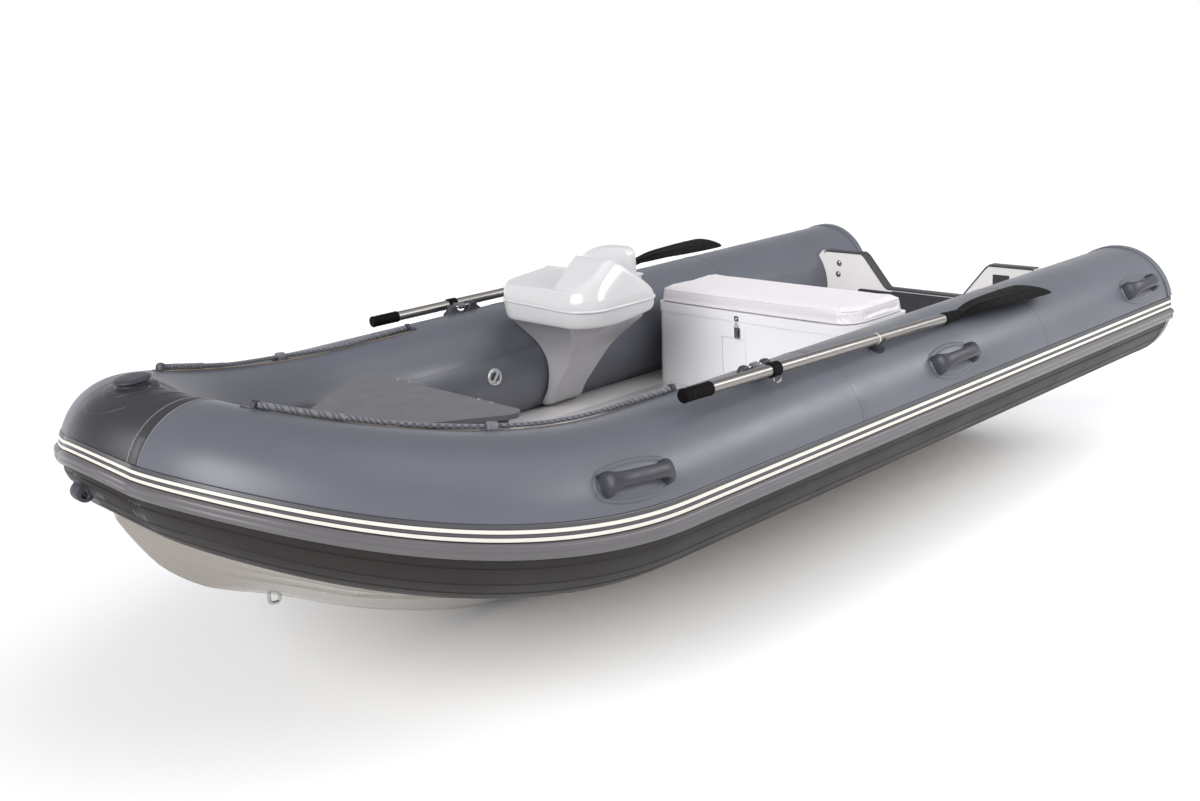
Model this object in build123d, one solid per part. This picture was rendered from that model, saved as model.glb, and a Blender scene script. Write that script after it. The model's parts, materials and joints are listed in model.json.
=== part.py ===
from build123d import *
import os
import math

# Rigid inflatable boat. Millimetres, +X to the bow, +Y to port, +Z up.
# Origin: on the centre plane and the underside of the keel guard, about 2.0 m from each end.

os.makedirs("parts", exist_ok=True)

# ---------------------------------------------------------------- driving sizes
TUBE_R = 215.0          # tube radius along the straight part
TUBE_Y = 713.0          # tube centre off the centre plane
TUBE_Z = 555.0          # tube centre height
RIM_X = -1922.0         # aft end of the cylinder, where the cap starts
BOW_X = 807.0           # where the straight part ends and the bend starts
BEND = [(807.0, 713.0), (1440.5, 713.0), (1971.0, 219.0), (1679.0, 0.0)]   # plan curve control points
SEAM_T = 0.785          # place of the bow seam along the bend; the bow piece starts here
NOSE_X = 1829.0         # centre of the section on the centre plane
NOSE_Z = 808.0
NOSE_R = 161.5
TAPER = 44.0            # loss of radius along the bend, as TAPER * s ** TAPER_POWER
TAPER_POWER = 2.115
SHEER_X = 846.0         # the tube starts to rise here
SHEER_END = 1679.0
SHEER_RISE = 179.8      # rise of the tube centre at SHEER_END, as the power SHEER_POWER
SHEER_POWER = 1.877
LIFT = 13.5             # degrees by which the rail climbs the tube at the nose
LIFT_POWER = 3.48
CAP_LEN = 96.0          # length of the domed stern cap
CAP_FLAT_R = 80.0

RAIL_LOW = -14.0        # rub rail, degrees round the tube from the outboard side
RAIL_HIGH = -2.5
RAIL_IN = 1.3           # gap between tube skin and the back of the rail
RAIL_OUT = 17.0

DECK_Z = 380.0          # top of the floor
DECK_T = 12.0
TRANSOM_X = -1630.0     # front face of the transom
TRANSOM_T = 45.0
TRANSOM_LOW = 567.0     # motor cut-out
TRANSOM_HIGH = 710.0
CLEAR = 0.4             # gap left round the curved tubes


# ---------------------------------------------------------------- helpers
def block(x0, x1, y0, y1, z0, z1):
    return Pos((x0 + x1) / 2, (y0 + y1) / 2, (z0 + z1) / 2) * Box(x1 - x0, y1 - y0, z1 - z0)


def cyl(axis, c, r, length):
    body = Cylinder(r, length)
    if axis == "x":
        body = Rot(0, 90, 0) * body
    elif axis == "y":
        body = Rot(90, 0, 0) * body
    return Pos(*c) * body


def mirror_y(shape):
    return mirror(shape, about=Plane.XZ)


def plate(points, z0, z1):
    wire = Polyline(*[(x, y) for x, y in points], close=True)
    return Pos(0, 0, z0) * extrude(make_face(wire), z1 - z0)


def plate_r(points, radii, z0, z1):
    wire = FilletPolyline(*[(x, y) for x, y in points], radius=radii, close=True)
    return Pos(0, 0, z0) * extrude(make_face(wire), z1 - z0)


written = []


def save(name, shape):
    solids = shape.solids()
    part = solids[0] if len(solids) == 1 else Compound(children=list(solids))
    for i, s in enumerate(solids):
        assert s.is_valid, (name, i)
    part.label = name
    export_step(part, "parts/" + name + ".step")
    b = part.bounding_box()
    written.append(name)
    print("%-22s solids %2d  x %.0f..%.0f  y %.0f..%.0f  z %.0f..%.0f  vol %.0f cm3" % (
        name, len(solids), b.min.X, b.max.X, b.min.Y, b.max.Y, b.min.Z, b.max.Z, sum(s.volume for s in solids) / 1000))
    return part


# ---------------------------------------------------------------- tube path
def bend(t):
    w = ((1 - t) ** 3, 3 * t * (1 - t) ** 2, 3 * t * t * (1 - t), t ** 3)
    return (sum(k * p[0] for k, p in zip(w, BEND)), sum(k * p[1] for k, p in zip(w, BEND)))


def rise(x):
    return 0.0 if x <= SHEER_X else SHEER_RISE * ((x - SHEER_X) / (SHEER_END - SHEER_X)) ** SHEER_POWER


def centre(t):
    # negative t runs aft along the straight part, in millimetres
    if t < 0:
        return Vector(BOW_X + t, TUBE_Y, TUBE_Z)
    x, y = bend(t)
    return Vector(x, y, TUBE_Z + rise(x))


def share(t):
    # 0 where the bend starts, 1 on the centre plane
    if t <= 0:
        return 0.0
    s = (bend(min(t, SEAM_T))[0] - BOW_X) / (NOSE_X - BOW_X)
    if t <= SEAM_T:
        return s
    k = (1 - t) / (1 - SEAM_T)
    return s + (1 - s) * (1 - k * k)


def port_frame(t):
    # origin, outboard direction, upward direction and radius of the section at t
    if t <= SEAM_T:
        c = centre(t)
        d = Vector(1, 0, 0) if t <= 0 else (centre(t + 0.001) - centre(t - 0.001)).normalized()
        u = Vector(-d.Y, d.X, 0).normalized()
        return c, u, d.cross(u), TUBE_R - TAPER * share(t) ** TAPER_POWER
    c, u, v, r = port_frame(SEAM_T)
    k = (1 - t) / (1 - SEAM_T)
    a = math.atan2(u.Y, u.X) * k
    o = Vector(NOSE_X - (NOSE_X - c.X) * k * k, c.Y * k, NOSE_Z - (NOSE_Z - c.Z) * k * k)
    u2 = Vector(math.cos(a), math.sin(a), 0)
    v2 = v * k + Vector(0, 0, 1) * (1 - k)
    v2 = (v2 - u2 * v2.dot(u2)).normalized()
    return o, u2, v2, r + (NOSE_R - r) * (1 - k * k)


def radius(t):
    return port_frame(t)[3]


def frame(t, side):
    # origin, outboard direction, travel direction (port to starboard round the nose)
    c, u, v, r = port_frame(t)
    d = u.cross(v)
    if side > 0:
        return c, u, d
    return Vector(c.X, -c.Y, c.Z), Vector(u.X, -u.Y, 0), Vector(-d.X, d.Y, -d.Z)


def section_plane(t, side):
    o, u, d = frame(t, side)
    return Plane(origin=o, x_dir=u, z_dir=d)


def tube_loft(stations, grow=0.0):
    faces = [section_plane(t, s) * Circle(radius(t) + grow) for t, s in stations]
    return loft(faces, ruled=True)


def rail_section(t, side, low, high, r_in, r_out):
    pl = section_plane(t, side)
    r = radius(t)
    lift = LIFT * share(t) ** LIFT_POWER
    a0, a1 = math.radians(low + lift), math.radians(high + lift)
    da = (a1 - a0) * 0.18
    pts = [((r + r_in) * math.cos(a0), (r + r_in) * math.sin(a0)),
           ((r + r_out) * math.cos(a0 + da), (r + r_out) * math.sin(a0 + da)),
           ((r + r_out) * math.cos(a1 - da), (r + r_out) * math.sin(a1 - da)),
           ((r + r_in) * math.cos(a1), (r + r_in) * math.sin(a1))]
    return pl * make_face(Polyline(*pts, close=True))


STRAIGHT = RIM_X - BOW_X
SIDE_T = [STRAIGHT, 0.0, 0.07, 0.14, 0.22, 0.30, 0.38, 0.46, 0.54, 0.62, 0.70, SEAM_T]
NOSE_T = [SEAM_T, 0.85, 0.92]

port_tube = tube_loft([(t, 1) for t in SIDE_T])
starboard_tube = tube_loft([(t, -1) for t in reversed(SIDE_T)])
bow_stations = [(t, 1) for t in NOSE_T] + [(1, 1)] + [(t, -1) for t in reversed(NOSE_T)]
bow_tube = tube_loft(bow_stations)
save("port_tube", port_tube)
save("starboard_tube", starboard_tube)
save("bow_tube", bow_tube)

cut_port = tube_loft([(t, 1) for t in SIDE_T], CLEAR)
cut_starboard = tube_loft([(t, -1) for t in reversed(SIDE_T)], CLEAR)
cut_bow = tube_loft(bow_stations, CLEAR)
CUTS = [cut_port, cut_starboard, cut_bow]

# domed stern caps
cap_profile = make_face(Wire([
    Edge.make_line((0, 0), (0, TUBE_R)),
    ThreePointArc((0, TUBE_R), (-CAP_LEN * 0.68, TUBE_R * 0.80), (-CAP_LEN, CAP_FLAT_R)).edge(),
    Edge.make_line((-CAP_LEN, CAP_FLAT_R), (-CAP_LEN, 0)),
    Edge.make_line((-CAP_LEN, 0), (0, 0))]))
cap = revolve(cap_profile, Axis.X)
port_cap = Pos(RIM_X, TUBE_Y, TUBE_Z) * cap
save("port_stern_cap", port_cap)
save("starboard_stern_cap", Pos(RIM_X, -TUBE_Y, TUBE_Z) * cap)


# rub rails
def rail(stations):
    return loft([rail_section(t, s, RAIL_LOW, RAIL_HIGH, RAIL_IN, RAIL_OUT) for t, s in stations], ruled=True)


save("port_rub_rail", rail([(t, 1) for t in SIDE_T]))
save("starboard_rub_rail", rail([(t, -1) for t in reversed(SIDE_T)]))
save("bow_rub_rail", rail(bow_stations))

# ---------------------------------------------------------------- hull
#        x      keel_z half_flat chine_y chine_z side_y side_z top_y top_z
HULL = [(-1630, 6, 40, 470, 250, 592, 336, 640, 368),
        (600, 6, 40, 470, 250, 592, 336, 640, 368),
        (835, 34, 36, 462, 262, 590, 338, 636, 369),
        (987, 72, 32, 445, 280, 578, 348, 620, 384),
        (1129, 121, 28, 415, 308, 555, 368, 590, 406),
        (1264, 176, 24, 375, 338, 512, 398, 545, 438),
        (1383, 235, 20, 325, 365, 450, 430, 480, 475),
        (1538, 315, 16, 230, 430, 335, 490, 370, 545),
        (1650, 365, 14, 160, 480, 240, 540, 280, 600),
        (1729, 408, 12, 105, 520, 165, 580, 200, 650),
        (1819, 487, 10, 55, 575, 85, 625, 110, 700),
        (1880, 580, 8, 28, 630, 42, 664, 55, 715),
        (1914, 646, 6, 12, 672, 18, 690, 22, 720)]


def hull_face(row):
    x, kz, k, cy, cz, sy, sz, ty, tz = row
    right = [(k, kz), (cy, cz), (sy, sz), (ty, tz)]
    pts = [(-y, z) for y, z in reversed(right)] + right
    return Plane(origin=(x, 0, 0), x_dir=(0, 1, 0), z_dir=(1, 0, 0)) * make_face(Polyline(*pts, close=True))


hull = loft([hull_face(r) for r in HULL], ruled=True)
for c in CUTS:
    hull = hull - c
hull = hull - block(-1700, 885, -660, 660, DECK_Z - DECK_T, 600)
hull = max(hull.solids(), key=lambda s: s.volume)
save("hull", hull)

save("keel_guard", block(-1600, 600, -38, 38, 0, 5.7))

deck = block(TRANSOM_X, 860, -640, 640, DECK_Z - DECK_T + 0.5, DECK_Z)
for c in CUTS[:2]:
    deck = deck - c
deck = max(deck.solids(), key=lambda s: s.volume)
save("floor_deck", deck)

# ---------------------------------------------------------------- transom
outline = [(-520, TRANSOM_HIGH), (-312, TRANSOM_HIGH), (-182, TRANSOM_LOW), (182, TRANSOM_LOW), (312, TRANSOM_HIGH),
           (520, TRANSOM_HIGH), (620, 610), (620, 345), (470, 254), (40, 10), (-40, 10), (-470, 254), (-620, 345), (-620, 610)]
tr_plane = Plane(origin=(TRANSOM_X - TRANSOM_T, 0, 0), x_dir=(0, 1, 0), z_dir=(1, 0, 0))
transom = extrude(tr_plane * make_face(Polyline(*outline, close=True)), TRANSOM_T - 0.3)
for c in CUTS[:2]:
    transom = transom - c
transom = max(transom.solids(), key=lambda s: s.volume)
save("transom", transom)
save("motor_pads", Compound(children=[block(TRANSOM_X, TRANSOM_X + 6, -150, 150, 430, 560),
                                      block(TRANSOM_X - TRANSOM_T - 10, TRANSOM_X - TRANSOM_T, -165, 165, 300, 560)]))

# ---------------------------------------------------------------- bow locker
LID_TOP = 739.0
LID_T = 14.0
LID_X = 890.0
lid_pts = [(LID_X, -366), (930, -388), (1395, -55), (1395, 55), (930, 388), (LID_X, 366)]
lid_rad = [30, 30, 50, 50, 30, 30]
lid = plate_r(lid_pts, lid_rad, LID_TOP - LID_T, LID_TOP)
box_pts = [(912, -345), (940, -358), (1370, -48), (1370, 48), (940, 358), (912, 345)]
in_pts = [(926, -328), (944, -338), (1350, -42), (1350, 42), (944, 338), (926, 328)]
box_rad = [25, 25, 40, 40, 25, 25]
in_rad = [15, 15, 32, 32, 15, 15]
locker = plate_r(box_pts, box_rad, 340, LID_TOP - LID_T - 0.4) - plate_r(in_pts, in_rad, 300, 800)
locker = locker - hull
for y in (-200, 200):
    locker = locker + block(880, 920, y - 34, y + 34, 714, 720)
    for dy in (-29, 29):
        locker = locker + block(881, 891, y + dy - 6, y + dy + 6, 714, 732) + cyl("y", (886, y + dy, 732), 6, 12)
locker = max(locker.solids(), key=lambda s: s.volume)
save("bow_locker_box", locker)
LID_AX = LID_X - 4.0     # hinge line of the lid
LID_AZ = LID_TOP - 7.0
for y in (-200, 200):
    lid = lid - block(LID_X - 1, LID_X + 6, y - 37, y + 37, LID_TOP - LID_T - 1, LID_TOP + 1)
    lid = lid + cyl("y", (LID_AX, y, LID_AZ), 6, 44) + block(LID_AX, LID_X + 8, y - 22, y + 22, LID_AZ - 5, LID_AZ + 5)
save("bow_locker_lid", lid)

# ---------------------------------------------------------------- seat
SX0, SX1 = -833.0, -501.0      # aft and front faces
SY = 465.0
FLARE = 16.0                   # the box widens towards the floor
SEAT_Z = 662.0                 # rim of the box
LIDS_Z = 698.0
CUSH_Z = 757.0
seat_rows = []
for z, g in ((DECK_Z, FLARE), (SEAT_Z, 0.0)):
    seat_rows.append(Plane((0, 0, z)) * (Pos((SX0 + SX1) / 2, 0) * RectangleRounded(SX1 - SX0, 2 * (SY + g), 42)))
outer = loft(seat_rows) & plate_r([(SX0 - 40, -SY - 60), (SX1, -SY - 60), (SX1, SY + FLARE), (SX0 - 40, SY + FLARE)], [5, 5, 104, 5], DECK_Z - 5, SEAT_Z + 5)
inner = plate_r([(SX0 + 12, -SY + 12), (SX1 - 20, -SY + 12), (SX1 - 20, SY - 12), (SX0 + 12, SY - 12)], [14, 34, 74, 14], DECK_Z + 12, 900)
seat = outer - inner - block(SX1 - 5, SX1 + 20, -131, -19, DECK_Z + 24, 598)
SEAT_AX, SEAT_AZ = SX0 - 2.0, SEAT_Z + 7.0     # hinge line of the seat lid
for y in (-300, 300):
    seat = seat + block(SX0 - 9, SX0, y - 48, y + 48, SEAT_Z - 30, SEAT_Z - 1)
    for dy in (-42, 42):
        seat = seat + block(SX0 - 8, SX0 + 1, y + dy - 6, y + dy + 6, SEAT_Z - 4, SEAT_AZ) + cyl("y", (SEAT_AX, y + dy, SEAT_AZ), 6, 12)
save("seat_box", seat)
s_lid = plate_r([(SX0 + 2, -SY - 3), (SX1 + 3, -SY - 3), (SX1 + 3, SY + 3), (SX0 + 2, SY + 3)], [25, 45, 92, 25], SEAT_Z + 0.5, LIDS_Z)
s_hollow = plate_r([(SX0 + 16, -SY + 12), (SX1 - 14, -SY + 12), (SX1 - 14, SY - 12), (SX0 + 16, SY - 12)], [14, 34, 76, 14], SEAT_Z - 1, LIDS_Z - 10)
s_lid = s_lid - s_hollow
for y in (-300, 300):
    s_lid = s_lid - block(SX0 - 2, SX0 + 7, y - 49, y + 49, SEAT_Z - 1, SEAT_AZ + 8)
    s_lid = s_lid + cyl("y", (SEAT_AX, y, SEAT_AZ), 6, 70) + block(SX0, SX0 + 8, y - 35, y + 35, SEAT_AZ - 5, SEAT_AZ + 5)
save("seat_lid", s_lid)
cush = plate_r([(SX0 + 6, -SY), (SX1, -SY), (SX1, SY), (SX0 + 6, SY)], [25, 42, 90, 25], LIDS_Z + 0.3, CUSH_Z)
save("seat_cushion", cush)
latch = block(SX1 + 0.3, SX1 + 4, -66, -38, 600, 640) + block(SX1 + 4, SX1 + 12, -58, -46, 606, 634)
save("seat_latch", latch)

# ---------------------------------------------------------------- console, on the starboard side of the floor
#  z     back y  aft x  bow x  corner y  corner x  front y
PED = [(DECK_Z, -584, -150, 6, -574, -2, -566),
       (404, -556, -122, 45, -530, 32, -516),
       (460, -514, -110, 52, -484, 38, -468),
       (510, -499, -111, 52, -441, 39, -426),
       (565, -493, -115, 56, -399, 45, -380),
       (613, -502, -120, 66, -357, 50, -339),
       (655, -518, -121, 84, -317, 58, -289),
       (711, -560, -115, 119, -270, 55, -206),
       (752, -578, -112, 150, -246, 38, -148)]


def ped_face(row):
    z, y0, x0, x1, yc, xc, y1 = row
    return Plane.XY.offset(z) * make_face(Polyline((x0, y0), (x1, y0), (x1, yc), (xc, y1), (x0, y1), close=True))


ped = loft([ped_face(r) for r in PED], ruled=True) - tube_loft([(t, -1) for t in reversed(SIDE_T[:2])], 3.0)
ped = max(ped.solids(), key=lambda s: s.volume)
save("console_pedestal", ped)


def rrect(z, x0, x1, y0, y1, r):
    return Plane.XY.offset(z) * Pos((x0 + x1) / 2, (y0 + y1) / 2) * RectangleRounded(x1 - x0, y1 - y0, r)


tray = loft([rrect(752.5, -186, 182, -575, -128, 60), rrect(825, -195, 200, -602, -112, 62)], ruled=True)
upper = loft([rrect(825, -191, 196, -598, -116, 60), rrect(885, -112, 172, -568, -140, 50)], ruled=True)
top = tray + upper
hood = loft([rrect(884, -110, 168, -310, -141, 36), rrect(972, -12, 34, -305, -160, 18)], ruled=True)
top = top + hood
fin = loft([rrect(835, -184, -120, -500, -196, 18), rrect(884, -186, -140, -500, -200, 18)], ruled=True)
fin = fin + loft([rrect(883.5, -184, -146, -498, -212, 15), rrect(980, -182, -156, -480, -225, 11)], ruled=True)
save("console_top", top + fin)

# ---------------------------------------------------------------- oars
# Each oar is drawn level along X at the origin of its collar, then tipped so the blade end is lower.
OAR_Y = {1: 822.0, -1: 814.0}     # port and starboard
OAR_Z = {1: 797.0, -1: 788.0}     # shaft centre at the collar
OAR_TILT = {1: 1.7, -1: 0.3}
OAR_X = {1: 350.0, -1: 226.0}     # collar place, port and starboard
SLIDE = {1: 0.0, -1: -18.0}       # how far each oar is pushed aft through its collar
GRIP_A, GRIP_B = 372.0, 264.0
BLADE_A, BLADE_B = -847.0, -1432.0
CLIP_DX = -504.0
EAR_DX = 46.0            # middle of each rowlock ear from the collar
PAD_DX = 66.0
SHAFT_R = 17.0
PIN_Y = 752.0           # hinge line of the rowlock, inboard of the shaft
TOP_Z = TUBE_Z + TUBE_R
ROLL = {1: -5.0, -1: 10.0}        # turn of the blade about the shaft, port and starboard
BLADE_UP = 14.0         # the blade is set above the line of the shaft, clear of the tube


def place_oar(shape, side):
    s = Pos(OAR_X[side], OAR_Y[side], OAR_Z[side]) * (Rot(0, -OAR_TILT[side], 0) * shape)
    return s if side > 0 else mirror_y(s)


def oar_node(name, shape, slide=True):
    for side, word in ((1, "port_"), (-1, "starboard_")):
        save(word + name, place_oar(Pos(SLIDE[side] if slide else 0, 0, 0) * shape, side))


oar_node("oar_shaft", cyl("x", ((GRIP_B + BLADE_A) / 2, 0, 0), SHAFT_R, GRIP_B - BLADE_A))
oar_node("oar_grip", cyl("x", ((GRIP_A + GRIP_B) / 2, 0, 0), 20, GRIP_A - GRIP_B))
socket = cyl("x", (BLADE_A - 35, 0, 0), 20, 70)
L = BLADE_A - BLADE_B
bl = [(BLADE_A - 40, -15), (BLADE_A - 0.3 * L, -56), (BLADE_A - 0.72 * L, -72), (BLADE_B, -68),
      (BLADE_B, 68), (BLADE_A - 0.72 * L, 72), (BLADE_A - 0.3 * L, 56), (BLADE_A - 40, 15)]
flat = plate_r(bl, [6, 120, 90, 30, 30, 90, 120, 6], -4, 4)
for side, word in ((1, "port_"), (-1, "starboard_")):
    save(word + "oar_blade", place_oar(Pos(SLIDE[side], 0, 0) * (socket + Rot(ROLL[side], 0, 0) * (Pos(0, 0, BLADE_UP) * flat)), side))
collar = cyl("x", (0, 0, 0), 21.5, 34) - cyl("x", (0, 0, 0), SHAFT_R + 0.1, 60)
oar_node("oar_collar", collar, False)

# rowlock: a fore-and-aft pin held by two ears; the oar swings up and inboard about it
PIN_R = 5.0
for side, word in ((1, "port_"), (-1, "starboard_")):
    px, oy, oz = OAR_X[side], OAR_Y[side], OAR_Z[side]
    arm = cyl("x", (px, PIN_Y, oz), 11, 20) + block(px - 9, px + 9, PIN_Y, oy - 16, oz - 7, oz + 7)
    arm = arm - cyl("x", (px, PIN_Y, oz), PIN_R + 0.05, 60) - cyl("x", (px, oy, oz), 21.9, 80)
    base = block(px - PAD_DX, px + PAD_DX, PIN_Y - 28, PIN_Y + 28, 740, TOP_Z + 2)
    ears = [block(px + e - 10, px + e + 10, PIN_Y - 12, PIN_Y + 12, 750, oz + 11) for e in (-EAR_DX, EAR_DX)]
    lock = base + ears[0] + ears[1] + cyl("x", (px, PIN_Y, oz), PIN_R, 2 * EAR_DX)
    lock = max((lock - cut_port).solids(), key=lambda q: q.volume)
    cx = px + CLIP_DX
    cz = oz + CLIP_DX * math.sin(math.radians(OAR_TILT[side]))
    lean = math.degrees(math.atan2(oy - TUBE_Y, cz - TUBE_Z))
    post = Pos(cx, TUBE_Y, TUBE_Z) * (Rot(-lean, 0, 0) * (Pos(0, 0, TUBE_R - 15) * (Cylinder(28, 19, align=(Align.CENTER, Align.CENTER, Align.MIN)) + Cylinder(19, 60, align=(Align.CENTER, Align.CENTER, Align.MIN)))))
    post = post & block(cx - 30, cx + 30, oy - 60, oy + 60, 600, cz + 3)
    clip = post - cyl("x", (cx, oy, cz), SHAFT_R + 1.2, 80) - cut_port
    clip = max(clip.solids(), key=lambda q: q.volume)
    if side < 0:
        arm, lock, clip = mirror_y(arm), mirror_y(lock), mirror_y(clip)
    save(word + "oar_arm", arm)
    save(word + "rowlock", lock)
    save(word + "oar_clip", clip)

# ---------------------------------------------------------------- grab handles on the outboard side of each tube
HANDLE_PHI = 30.0
HANDLE_XS = [960.0, -430.0, -1690.0]
HANDLE_LEN = 200.0
HANDLE_RISE = 56.0


def tube_place(x, phi, side):
    # frame on the tube skin: x along the tube, z out of the skin
    lo, hi = 0.0, 1.0
    if x <= BOW_X:
        t = x - BOW_X - 1e-6
    else:
        for _ in range(50):
            t = (lo + hi) / 2
            if bend(t)[0] < x:
                lo = t
            else:
                hi = t
    o, u, d = frame(t, 1)
    r = radius(t)
    v = d.cross(u)
    a = math.radians(phi)
    n = u * math.cos(a) + v * math.sin(a)
    p = o + n * r
    return Plane(origin=p, x_dir=d, z_dir=n)


def handle():
    pad = Pos(0, 0, 2) * extrude(SlotOverall(HANDLE_LEN + 40, 104), 14)
    path = FilletPolyline((-HANDLE_LEN / 2, 0, 8), (-HANDLE_LEN / 2 + 18, 0, HANDLE_RISE), (HANDLE_LEN / 2 - 18, 0, HANDLE_RISE),
                          (HANDLE_LEN / 2, 0, 8), radius=22)
    bar = sweep(Plane(origin=path @ 0, z_dir=path % 0) * Circle(13), path=path)
    return pad + bar


hd = handle()
ph = []
for x in HANDLE_XS:
    pl = tube_place(x, HANDLE_PHI, 1)
    one = pl * (Pos(0, 0, -8) * hd)
    one = one - cut_port
    ph.append(max(one.solids(), key=lambda s: s.volume))
port_handles = Compound(children=ph)
save("port_grab_handles", port_handles)
save("starboard_grab_handles", Compound(children=[mirror_y(s) for s in ph]))

# ---------------------------------------------------------------- lifelines on the inboard top of each tube
BEND_TOP = bend(SEAM_T)[0]
ROPE_R = 6.5
ROPE_OUT = 10.0
#               front   mid     aft anchor, as X
ROPES = {1: (1650.0, 1179.0, 597.0), -1: (1540.0, 1047.0, 537.0)}
ROPE_PHI = {1: 105.0, -1: 100.0}


def tube_point(x, phi, out):
    pl = tube_place(x, phi, 1)
    p = pl.origin + pl.z_dir * out
    return (p.X, p.Y, p.Z)


def skin_x(x_path):
    return x_path


def path_x(x_skin, phi):
    # X of the path station whose skin point at phi has this X
    lo, hi = x_skin - 50, min(BEND_TOP - 2, x_skin + 260)
    for _ in range(60):
        mid = (lo + hi) / 2
        if tube_point(mid, phi, ROPE_OUT)[0] < x_skin:
            lo = mid
        else:
            hi = mid
    return (lo + hi) / 2


def rope_route(side):
    front, mid, aft = ROPES[side]
    phi = ROPE_PHI[side]
    pts = []
    for a, b, n in ((front, mid, 4), (mid, aft, 5)):
        for i in range(n if b != aft else n + 1):
            f = i / n
            x = a + (b - a) * f
            sag = 5.0 * math.sin(math.pi * f) ** 2
            p = tube_point(path_x(x, phi), phi + sag, ROPE_OUT)
            pts.append((p[0], p[1], p[2]))
    return pts


def rope_body(pts, r):
    radii = []
    for i in range(1, len(pts) - 1):
        a = Vector(*pts[i]) - Vector(*pts[i - 1])
        b = Vector(*pts[i + 1]) - Vector(*pts[i])
        turn = math.acos(max(-1.0, min(1.0, a.normalized().dot(b.normalized()))))
        radii.append(0.45 * min(a.length, b.length) / math.tan(turn / 2))
    print("lifeline runs", [round((Vector(*pts[i + 1]) - Vector(*pts[i])).length) for i in range(len(pts) - 1)], "arc radii", [round(q) for q in radii])
    line = FilletPolyline(*pts, radius=radii)
    body = sweep(Plane(origin=line @ 0, z_dir=line % 0) * Circle(r), path=line)
    print("lifeline length", round(line.length), "volume ratio", round(body.volume / (math.pi * r * r * line.length), 4))
    return body


for side, word in ((1, "port_"), (-1, "starboard_")):
    pts = rope_route(side)
    print(word + "route", [tuple(round(c, 1) for c in p) for p in pts])
    rope = rope_body(pts, ROPE_R)
    # eyes that hold the rope: pads with an upright ear each side of the rope
    front, mid, aft = ROPES[side]
    phi = ROPE_PHI[side]
    eyes = []
    for x in (front + 16, mid, aft - 16):
        pl = tube_place(path_x(x, phi), phi, 1)
        pad = Pos(0, 0, -4) * extrude(RectangleRounded(70, 34, 12), 7)
        ear = block(-6, 6, -14, 14, 0, ROPE_OUT + 14)
        eye = pl * (pad + ear) - cut_port
        eye = max(eye.solids(), key=lambda q: q.volume)
        eyes.append(eye)
    hole = rope_body([tube_point(path_x(front + 60, phi), phi, ROPE_OUT)] + pts + [tube_point(path_x(aft - 60, phi), phi, ROPE_OUT)], ROPE_R + 0.5)
    eyes = [max((e - hole).solids(), key=lambda q: q.volume) for e in eyes]
    if side < 0:
        rope = mirror_y(rope)
        eyes = [mirror_y(e) for e in eyes]
    save(word + "lifeline", rope)
    save(word + "rope_eyes", Compound(children=eyes))

# ---------------------------------------------------------------- bow fittings
cut_rail = rail(bow_stations)


def nose_plane(phi):
    a = math.radians(phi)
    n = Vector(math.cos(a), 0, math.sin(a))
    o = Vector(NOSE_X, 0, NOSE_Z) + n * NOSE_R
    return Plane(origin=o, x_dir=Vector(math.sin(a), 0, -math.cos(a)), z_dir=n)


# mooring bitt: a low mushroom on a round base, leaning forward with the tube
BITT_R = [(62, -26, -1), (56, -1, 4), (40, 4, 15), (48, 15, 24)]     # radius, from, to
bitt = Pos(0, 0, -26) * Cylinder(62, 25, align=(Align.CENTER, Align.CENTER, Align.MIN))
for r, z0, z1 in BITT_R[1:]:
    bitt = bitt + Pos(0, 0, z0) * Cylinder(r, z1 - z0, align=(Align.CENTER, Align.CENTER, Align.MIN))
bitt = nose_plane(95) * (Rot(0, 9, 0) * bitt)
bitt = max((bitt - cut_bow).solids(), key=lambda q: q.volume)
save("bow_bitt", bitt)

# tow eye: an upright lug with an athwartships hole on a round pad
LUG_X, LUG_Z, LUG_R = 1983.0, 742.0, 25.0
EYE_X, EYE_Z, EYE_R = 1987.0, 737.0, 6.5
tow = nose_plane(-24) * (Pos(0, 0, -14) * extrude(Circle(46), 18)) + cyl("y", (LUG_X, 0, LUG_Z), LUG_R, 44)
tow = tow + cyl("y", (LUG_X - 16, 0, LUG_Z + 2), LUG_R, 44)
tow = tow - cyl("y", (EYE_X, 0, EYE_Z), EYE_R, 200)
tow = max((tow - cut_bow - cut_rail).solids(), key=lambda q: q.volume)
save("tow_eye", tow)

# keel U-bolt on the stem
ub_path = FilletPolyline((1501, 0, 325), (1506, 0, 277), (1537, 0, 284), (1535, 0, 340), radius=11)
ubolt = sweep(Plane(origin=ub_path @ 0, z_dir=ub_path % 0) * Circle(5), path=ub_path)
ubolt = max((ubolt - hull).solids(), key=lambda q: q.volume)
save("keel_ubolt", ubolt)

# inflation valves, one on the inboard side of each side tube
valve_pl = tube_place(300.0, 176.0, 1)
valve = valve_pl * (Pos(0, 0, -4) * extrude(Circle(31), 10) + Pos(0, 0, 6) * extrude(Circle(22), 5))
valve = max((valve - cut_port).solids(), key=lambda q: q.volume)
save("inflation_valves", Compound(children=[valve, mirror_y(valve)]))

# drain plugs through the transom
plugs = [cyl("x", (TRANSOM_X - TRANSOM_T - 6, y, 300), 17, 11.6) for y in (-300, 300)]
save("drain_plugs", Compound(children=plugs))
print(len(written), "nodes")
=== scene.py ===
import bpy, bmesh, math, json
from mathutils import Vector, Matrix
from mathutils.bvhtree import BVHTree

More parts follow.
